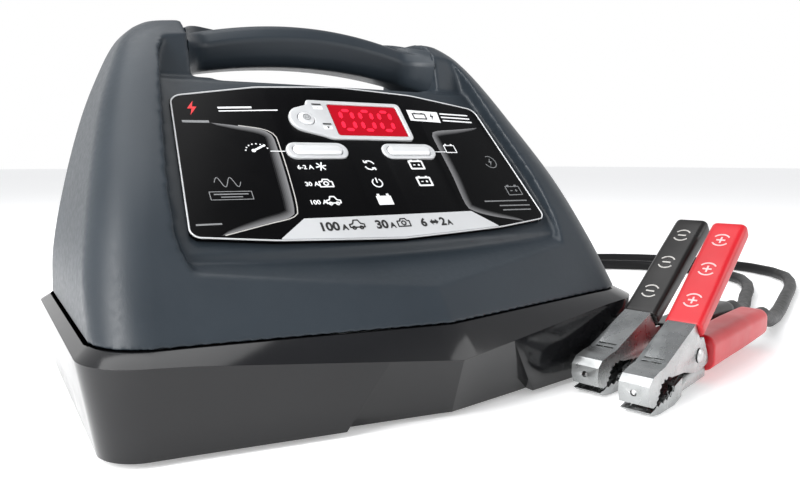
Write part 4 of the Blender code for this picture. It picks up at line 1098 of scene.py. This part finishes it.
for name in CLAMPS:
    inner = PAD_IN - GAP - 0.0030
    shank = PAD_OUT + GAP - inner
    profile = [(0.0, 0.0092), (0.0030, 0.0092), (0.0030, 0.0070), (shank, 0.0070), (shank, 0.0090)]
    profile += [(shank + 0.0004, 0.0092), (shank + 0.0040, 0.0092), (shank + 0.0048, 0.0086)]
    profile += ribbed(shank + 0.0052, RELIEF_END - inner - shank - 0.0056, 0.0082, 0.0062, 6, 0.0011)
    relief = turned(f"{name}_relief", profile, (LEAD_EXITS[name], inner, EXIT_Z), (0, 1, 0), lead_rubber, 40)
    own(relief, f"{name}_strain_relief", slot="black_rubber")
    points, end, along = lead_points(name)
    boot_start = end - along * (BOOT_L + GAP)
    profile = [(0.0, 0.0062), (0.0003, 0.0066), (0.0032, 0.0066), (0.0040, 0.0061), (0.0050, 0.0061),
               (0.0054, 0.0064), (0.0066, 0.0063), (0.0070, 0.0058), (0.0082, 0.0058), (0.0086, 0.0060),
               (0.0098, 0.0058), (BOOT_L, 0.0055)]
    boot = turned(f"{name}_boot", profile, boot_start, along, lead_rubber, 40)
    own(boot, f"{name}_cable_boot", slot="black_rubber")
    length = sum((b - a).length for a, b in zip(points, points[1:]))
    lead = wire(f"{name}_wire", points, LEAD_D / 2, lead_rubber, 6)
    own(lead, f"{name}_lead", slot="black_rubber")
    tuple(points[0])
    print(name, "lead:", round(length, 3), "m,", len(points), "points")

# %% [markdown]
# ## The pieces inside and behind
# The power parts, the fan and the rear fittings already have their true shape in the frame. They stay, and each
# gets the finish of what it is: laminations, copper, circuit board, aluminium, matt moulding.

# %% Finishes for the carried-over pieces
KEPT = {
    "transformer_core": sheets, "transformer_winding": copper, "power_board": circuit, "control_board": circuit,
    "heat_sink": cast_silver, "rectifier": matt_black, "capacitor_front": panel_black,
    "capacitor_rear": panel_black, "crank_relay": matt_black, "fan_frame": matt_black, "fan_rotor": matt_black,
    "fan_grille": matt_black,
    "mains_inlet_gland": lead_rubber, "thermal_breaker": matt_black, "led_display": matt_black,
}
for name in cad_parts:
    if name.startswith("screw_") or name.endswith("_spring"):
        KEPT[name] = rivet_steel


def dress(name, look):
    node = bpy.data.objects[name]
    if not node.material_slots:
        node.data.materials.append(look)
    for place_slot in node.material_slots:
        place_slot.material = look


for name, look in KEPT.items():
    dress(name, look)
print("carried over:", len(KEPT))

# %% [markdown]
# ## The panel's print
# The fascia is screen printed: icons, plain bars and a soft grey border on each side pad. Each mark is drawn
# as strokes and filled outlines in the panel's own width and height, then made a very thin solid that follows
# the bow. Only plain signs and rates are printed: bolts, batteries, a gauge, a snowflake, arrows and numbers.

# %% Print: simple signs
INK_LOW, INK_HIGH = 0.00002, 0.00016


def printed(name, outlines, look, low=INK_LOW, high=INK_HIGH, slot="black_gloss"):
    return own(thin_solids(name, outlines, on_panel, low, high, look), slot=slot)


def box_outline(x0, v0, x1, v1, thick):
    return stroke([(x0, v0), (x1, v0), (x1, v1), (x0, v1)], thick, closed=True)


def battery_sign(cx, cv, wide, high, thick):
    """A battery: its case and two posts."""
    out = box_outline(cx - wide / 2, cv - high / 2, cx + wide / 2, cv + high / 2, thick)
    for side in (-1, 1):
        x, top = cx + side * wide * 0.28, cv + high / 2
        out.append(bar(x, top, x, top + high * 0.20, wide * 0.16))
    return out


def plus_minus(cx, cv, size, thick):
    return [bar(cx - 1.6 * size, cv, cx - 0.6 * size, cv, thick),
            bar(cx + 0.6 * size, cv, cx + 1.6 * size, cv, thick),
            bar(cx + 1.1 * size, cv - 0.5 * size, cx + 1.1 * size, cv + 0.5 * size, thick)]


def bolt_sign(cx, cv, size):
    points = [(0.30, 1.0), (-0.45, -0.10), (-0.02, -0.10), (-0.30, -1.0), (0.50, 0.18), (0.06, 0.18)]
    return [[(cx + size * a, cv + size * b) for a, b in points]]


def snowflake_sign(cx, cv, size, thick):
    out = []
    for k in range(3):
        turn = radians(60 * k + 12)
        x, v = size * cos(turn), size * sin(turn)
        out.append(bar(cx - x, cv - v, cx + x, cv + v, thick))
    return out


def engine_sign(cx, cv, size, thick):
    """An engine block seen from the side, with a belt wheel."""
    case = [(-1.0, -0.6), (-1.0, 0.35), (-0.55, 0.35), (-0.35, 0.75),
            (0.45, 0.75), (0.65, 0.35), (1.0, 0.35), (1.0, -0.6)]
    out = stroke([(cx + size * a, cv + size * b) for a, b in case], thick, closed=True)
    out += stroke(arc(cx, cv, size * 0.34, 0, 360, 12), thick)
    return out


def vehicle_sign(cx, cv, size, thick):
    """A small vehicle: a cab on a body, over two wheels."""
    case = [(-1.0, -0.35), (-1.0, 0.10), (-0.55, 0.20), (-0.30, 0.75),
            (0.30, 0.75), (0.55, 0.20), (1.0, 0.10), (1.0, -0.35)]
    out = stroke([(cx + size * a, cv + size * b) for a, b in case], thick, closed=True)
    for side in (-0.5, 0.5):
        out += stroke(arc(cx + side * size, cv - 0.42 * size, size * 0.22, 0, 360, 10), thick)
    return out


def cycle_sign(cx, cv, size, thick):
    """Two arrows that chase each other round."""
    out = []
    for start in (20, 200):
        points = arc(cx, cv, size, start, start + 125, 8)
        out += stroke(points, thick)
        (x, v), turn = points[-1], radians(start + 125 + 90)
        for bend in (-2.4, 2.4):
            out.append(bar(x, v, x + 0.55 * size * cos(turn + bend), v + 0.55 * size * sin(turn + bend), thick))
    return out


# %% Print: numbers from the plain built-in face
def number_piece(name, rows, look, slot, low=INK_LOW, high=INK_HIGH):
    """Numbers as one closed thin piece: flat text, given a depth, then bent on to the panel."""
    bm = bmesh.new()
    for text, x, v, height, bold in rows:
        curve = bpy.data.curves.new("number", "FONT")
        curve.body, curve.size, curve.offset, curve.resolution_u = text, height / 0.70, bold, 4
        curve.extrude = 0.5
        made = bpy.data.objects.new("number", curve)
        scene.collection.objects.link(made)
        bpy.context.view_layer.update()
        mesh = bpy.data.meshes.new_from_object(made.evaluated_get(bpy.context.evaluated_depsgraph_get()))
        bpy.data.objects.remove(made, do_unlink=True)
        for vert in mesh.vertices:
            vert.co = on_panel(x + vert.co.x, v + vert.co.y, low if vert.co.z < 0 else high)
        bm.from_mesh(mesh)
        bpy.data.meshes.remove(mesh)
    bmesh.ops.remove_doubles(bm, verts=bm.verts, dist=1e-6)
    return own(as_piece(bm, name, look, 30), slot=slot)


# %% Print: white signs in the three columns
white = snowflake_sign(-0.0300, 0.0491, 0.0030, 0.0007)
white += engine_sign(-0.0310, 0.0374, 0.0036, 0.0007)
white += vehicle_sign(-0.0308, 0.0258, 0.0038, 0.0007)
white += cycle_sign(-0.0013, 0.0498, 0.0031, 0.0008)
white += stroke(arc(-0.0013, 0.0373, 0.0029, 125, 415, 14), 0.0007)
white += [bar(-0.0013, 0.0373, -0.0013, 0.0408, 0.0007)]
white += [[(-0.0058, 0.0222), (0.0030, 0.0222), (0.0030, 0.0282), (-0.0058, 0.0282)]]
white += [bar(-0.0042, 0.0280, -0.0042, 0.0296, 0.0014), bar(0.0014, 0.0280, 0.0014, 0.0296, 0.0014)]
for v in (0.0499, 0.0376):
    white += battery_sign(0.0291, v, 0.0086, 0.0056, 0.0011)
    white += plus_minus(0.0291, v, 0.0014, 0.0006)
# Gauge at the left button, battery at the right one, each with its leader line.
for k in range(8):
    turn = radians(168 - 20 * k)
    white.append(circle(0.00042, 8, -0.0607 + 0.0062 * cos(turn), 0.0590 + 0.0056 * sin(turn)))
white += stroke([(-0.0630, 0.0598), (-0.0606, 0.0612), (-0.0562, 0.0638)], 0.0011)
white.append(circle(0.0011, 12, -0.0628, 0.0599))
white.append(bar(-0.0542, 0.0596, -0.0462, 0.0596, 0.0005))
white += battery_sign(0.0592, 0.0625, 0.0076, 0.0056, 0.0006) + [bar(0.0458, 0.0601, 0.0552, 0.0601, 0.0005)]
printed("white_signs", white, white_ink)
rates = [(text, x, v, 0.0027, 0.00006) for text, x, v in (
    ("6-2 A", -0.0432, 0.0473), ("30 A", -0.0425, 0.0359), ("100 A", -0.0437, 0.0240))]
number_piece("white_rates", rates, white_ink, "black_gloss")

# %% Print: plain bars and boxes where the real panel has words
bars = []
for k, (x0, x1) in enumerate(((0.0657, 0.0880), (0.0655, 0.0882), (0.0655, 0.0886))):
    bars.append(bar(x0, 0.0924 - 0.0029 * k, x1, 0.0919 - 0.0030 * k, 0.0011))
bars += [bar(-0.0740, 0.0900, -0.0560, 0.0912, 0.0012), bar(-0.0740, 0.0876, -0.0420, 0.0898, 0.0007)]
printed("white_bars", bars, white_ink)
badge = [[(0.0408, 0.0856), (0.0628, 0.0846), (0.0640, 0.0936), (0.0414, 0.0945)]]
printed("white_badge", badge, white_ink)
inside = battery_sign(0.0488, 0.0893, 0.0090, 0.0042, 0.0009) + bolt_sign(0.0580, 0.0896, 0.0030)
printed("badge_sign", inside, black_ink, INK_HIGH + 0.00001, INK_HIGH + 0.00012)
wave = [(-0.0870 + 0.0125 * i / 24, 0.0392 + 0.0030 * sin(4 * pi * i / 24)) for i in range(25)]
grey = stroke(wave, 0.00035)
grey += box_outline(-0.0907, 0.0284, -0.0708, 0.0333, 0.00035)
grey += [bar(-0.0888, 0.0317, -0.0726, 0.0317, 0.0006), bar(-0.0858, 0.0300, -0.0756, 0.0300, 0.0005)]
grey += [bar(-0.0938, 0.0795, -0.0806, 0.0797, 0.0016), bar(-0.1005, 0.0141, -0.0890, 0.0142, 0.0009)]
grey += battery_sign(0.0915, 0.0290, 0.0110, 0.0064, 0.0006) + plus_minus(0.0915, 0.0290, 0.0018, 0.0006)
grey += stroke(arc(0.0852, 0.0520, 0.0046, 200, 470, 16), 0.0005) + bolt_sign(0.0852, 0.0520, 0.0030)
for x0, x1, v in ((0.0640, 0.0975, 0.0218), (0.0736, 0.0978, 0.0182), (0.0745, 0.0968, 0.0150)):
    grey.append(bar(x0, v, x1, v - 0.0006, 0.0008))
printed("grey_marks", grey, grey_ink)
printed("red_bolt", bolt_sign(-0.0872, 0.0893, 0.0052), red_ink)


# %% Print: the pads' soft borders
def flat_path(points, step):
    """Points every step along a smooth line, as (x, height) pairs."""
    return [tuple(p)[:2] for p in smooth_path([Vector((x, v, 0.0)) for x, v in points], step)]


def pad_border(name, points, width, look_from, look_to, steps):
    """A soft band beside a line: strips that fade from the line inwards, thin out to both ends."""
    centre = Vector((sum(p[0] for p in points) / len(points), sum(p[1] for p in points) / len(points)))
    line = [Vector(p) for p in flat_path(points, 0.0035)]
    last = len(line) - 1
    fade = [sin(pi * i / last) ** 0.5 for i in range(last + 1)]
    inward = []
    for i, here in enumerate(line):
        run = (line[min(i + 1, last)] - line[max(i - 1, 0)]).normalized()
        side = Vector((-run.y, run.x))
        inward.append(side if side.dot(centre - here) >= 0 else -side)
    for k in range(steps):
        near, far = width * k / steps, width * (k + 1) / steps
        quads = []
        for i in range(last):
            a, b, side_a, side_b = line[i], line[i + 1], inward[i], inward[i + 1]
            quads.append([
                tuple(a + side_a * near * fade[i]), tuple(b + side_b * near * fade[i + 1]),
                tuple(b + side_b * (far * fade[i + 1] + 1e-5)), tuple(a + side_a * (far * fade[i] + 1e-5)),
            ])
        share = k / (steps - 1)
        grey_level = [a + (b - a) * share for a, b in zip(look_from, look_to)]
        dark, light = [c * 0.9 for c in grey_level], [c * 1.1 for c in grey_level]
        shade = finish(f"{name}_shade_{k}", dark, light, (0.30, 0.40), 600.0, 0.02, specular=0.2)
        printed(f"{name}_band_{k}", quads, shade, INK_LOW, 0.00008)


LEFT_BORDER = [(-0.0803, 0.0790), (-0.0680, 0.0774), (-0.0560, 0.0752), (-0.0505, 0.0712), (-0.0500, 0.0631),
               (-0.0508, 0.0422), (-0.0528, 0.0215), (-0.0565, 0.0164), (-0.0696, 0.0130), (-0.0905, 0.0076)]
RIGHT_BORDER = [(0.0907, 0.0812), (0.0720, 0.0790), (0.0560, 0.0772), (0.0512, 0.0740), (0.0507, 0.0640),
                (0.0505, 0.0420), (0.0492, 0.0215), (0.0520, 0.0158), (0.0650, 0.0108), (0.0867, 0.0062)]
for name, points in (("left_pad", LEFT_BORDER), ("right_pad", RIGHT_BORDER)):
    pad_border(name, points, 0.0052, (0.16, 0.16, 0.165), (0.004, 0.004, 0.0045), 6)
line = flat_path([(x + 0.0016, v) for x, v in LEFT_BORDER[1:]], 0.003)
printed("left_pad_line", stroke(line, 0.00045), pale_grey)

# %% Print: rates on the silver strip, and a painted highlight round the fascia's rim
strip_low, strip_high = STRIP_FACE + INK_LOW, STRIP_FACE + INK_HIGH
big, small = (0.0050, 0.00022), (0.0032, 0.00016)
rates = [
    ("100", -0.0441, 0.0070, *big), ("A", -0.0322, 0.0070, *small), ("30", -0.0136, 0.0068, *big),
    ("A", -0.0054, 0.0068, *small), ("6", 0.0133, 0.0066, *big), ("2", 0.0256, 0.0066, *big),
    ("A", 0.0300, 0.0066, *small),
]
number_piece("strip_rates", rates, black_ink, "silver_trim", strip_low, strip_high)
signs = vehicle_sign(-0.0238, 0.0096, 0.0040, 0.0007) + engine_sign(0.0030, 0.0094, 0.0036, 0.0007)
signs += [[(0.0190, 0.0090), (0.0208, 0.0108), (0.0208, 0.0098), (0.0228, 0.0098), (0.0228, 0.0108),
           (0.0246, 0.0090), (0.0228, 0.0072), (0.0228, 0.0082), (0.0208, 0.0082), (0.0208, 0.0072)]]
printed("strip_signs", signs, black_ink, strip_low, strip_high, "silver_trim")
# A thin silver tube round the fascia's edge is a painted highlight, standing for light caught on the edge's
# bevel.
right = [(x, v + 0.0003) for x, v in PANEL_LOW]
right += [(x - 0.0003, v - 0.0003) for x, v in reversed(PANEL_HIGH[:-1])]
rim = soften_outline(right + [(-x, v) for x, v in reversed(right) if x > 1e-4], 0.0030, 3)
dense = []
for a, b in zip(rim, rim[1:] + rim[:1]):
    count = max(1, int((Vector(a) - Vector(b)).length / 0.006))
    dense += [tuple(Vector(a).lerp(Vector(b), i / count)) for i in range(count)]
rim_highlight_tube = wire("fascia_rim_highlight", [on_panel(x, v, 0.0001) for x, v in dense], 0.00042, silver, 3)
rim_highlight_tube.data.splines[0].use_cyclic_u = True
own(rim_highlight_tube, slot="silver_trim")

# %% Print: labels on the display frame
place = flat_at(0.0)
labels = [[(-0.0213, 0.0905), (-0.0158, 0.0905), (-0.0158, 0.0928), (-0.0213, 0.0928)],
          [(-0.0196, 0.0752), (-0.0146, 0.0752), (-0.0146, 0.0775), (-0.0196, 0.0775)]]
label_low, label_high = FRAME_FACE + INK_LOW, FRAME_FACE + INK_HIGH
own(thin_solids("frame_labels", labels, place, label_low, label_high, white_ink), slot="silver_trim")
dark = [[(-0.0192, 0.0909), (-0.0179, 0.0924), (-0.0187, 0.0917)],
        [(-0.0179, 0.0772), (-0.0163, 0.0772), (-0.0171, 0.0756)]]
dark += [bar(-0.0216, 0.0944, -0.0160, 0.0944, 0.0009), bar(-0.0196, 0.0792, -0.0146, 0.0792, 0.0009)]
own(thin_solids("frame_signs", dark, place, label_high, label_high + 0.0001, black_ink), slot="silver_trim")
ring = stroke(arc(*LOBE_C, 0.0020, 0, 360, 20), 0.0004) + battery_sign(*LOBE_C, 0.0020, 0.0013, 0.0003)
sign = thin_solids("round_button_sign", ring, place, BUTTON_FACE, BUTTON_FACE + 0.0002, grey_ink)
own(sign, slot="silver_button", body="display_button")

# %% [markdown]
# ## Stage and light
# The floor is one pale sheet. A wide soft light hangs over the set, a tall one stands to the left of the camera
# and a weaker one to the right, so every gloss surface mirrors a soft shape and no shadow is hard.

# %% Floor
bm = bmesh.new()
bmesh.ops.create_grid(bm, x_segments=24, y_segments=24, size=12.0)
mesh = bpy.data.meshes.new("floor")
bm.to_mesh(mesh)
bm.free()
floor_paper = finish("floor_paper", (0.93, 0.93, 0.93), (0.95, 0.95, 0.95), (0.85, 0.95), 300.0, 0.02, 2.0)
glow(floor_paper, (1.0, 1.0, 1.0), 0.30)
mesh.materials.append(floor_paper)
floor = bpy.data.objects.new("floor", mesh)
floor.location = (0.0, 0.0, -0.0002)
scene.collection.objects.link(floor)
print("floor:", len(mesh.polygons), "faces")

# %% Lights
world = bpy.data.worlds.new("studio")
world.use_nodes = True
tree, backdrop = world.node_tree, world.node_tree.nodes["Background"]
where = tree.nodes.new("ShaderNodeTexCoord")
height = tree.nodes.new("ShaderNodeSeparateXYZ")
link(tree, where.outputs["Generated"], height.inputs["Vector"])
dome = ramp(tree, height.outputs["Z"], (1.0, 1.0, 1.0), (0.34, 0.35, 0.37), 0.30, 0.85)
link(tree, dome, backdrop.inputs["Color"])
backdrop.inputs["Strength"].default_value = 1.0
scene.world = world


def soft_light(name, place, aim, width, height, power):
    data = bpy.data.lights.new(name, "AREA")
    data.shape = "RECTANGLE"
    data.size, data.size_y, data.energy = width, height, power
    lamp = bpy.data.objects.new(name, data)
    scene.collection.objects.link(lamp)
    lamp.location = place
    lamp.rotation_euler = (Vector(aim) - Vector(place)).to_track_quat("-Z", "Y").to_euler()
    return lamp


soft_light("overhead", (-0.30, 0.20, 1.30), (0.05, 0.0, 0.05), 1.2, 1.2, 12.0)
soft_light("left_tall", (-1.20, -0.25, 0.60), (0.0, 0.0, 0.08), 0.45, 1.1, 22.0)
soft_light("right_fill", (0.95, -1.05, 0.55), (0.10, 0.0, 0.08), 0.7, 0.8, 4.0)
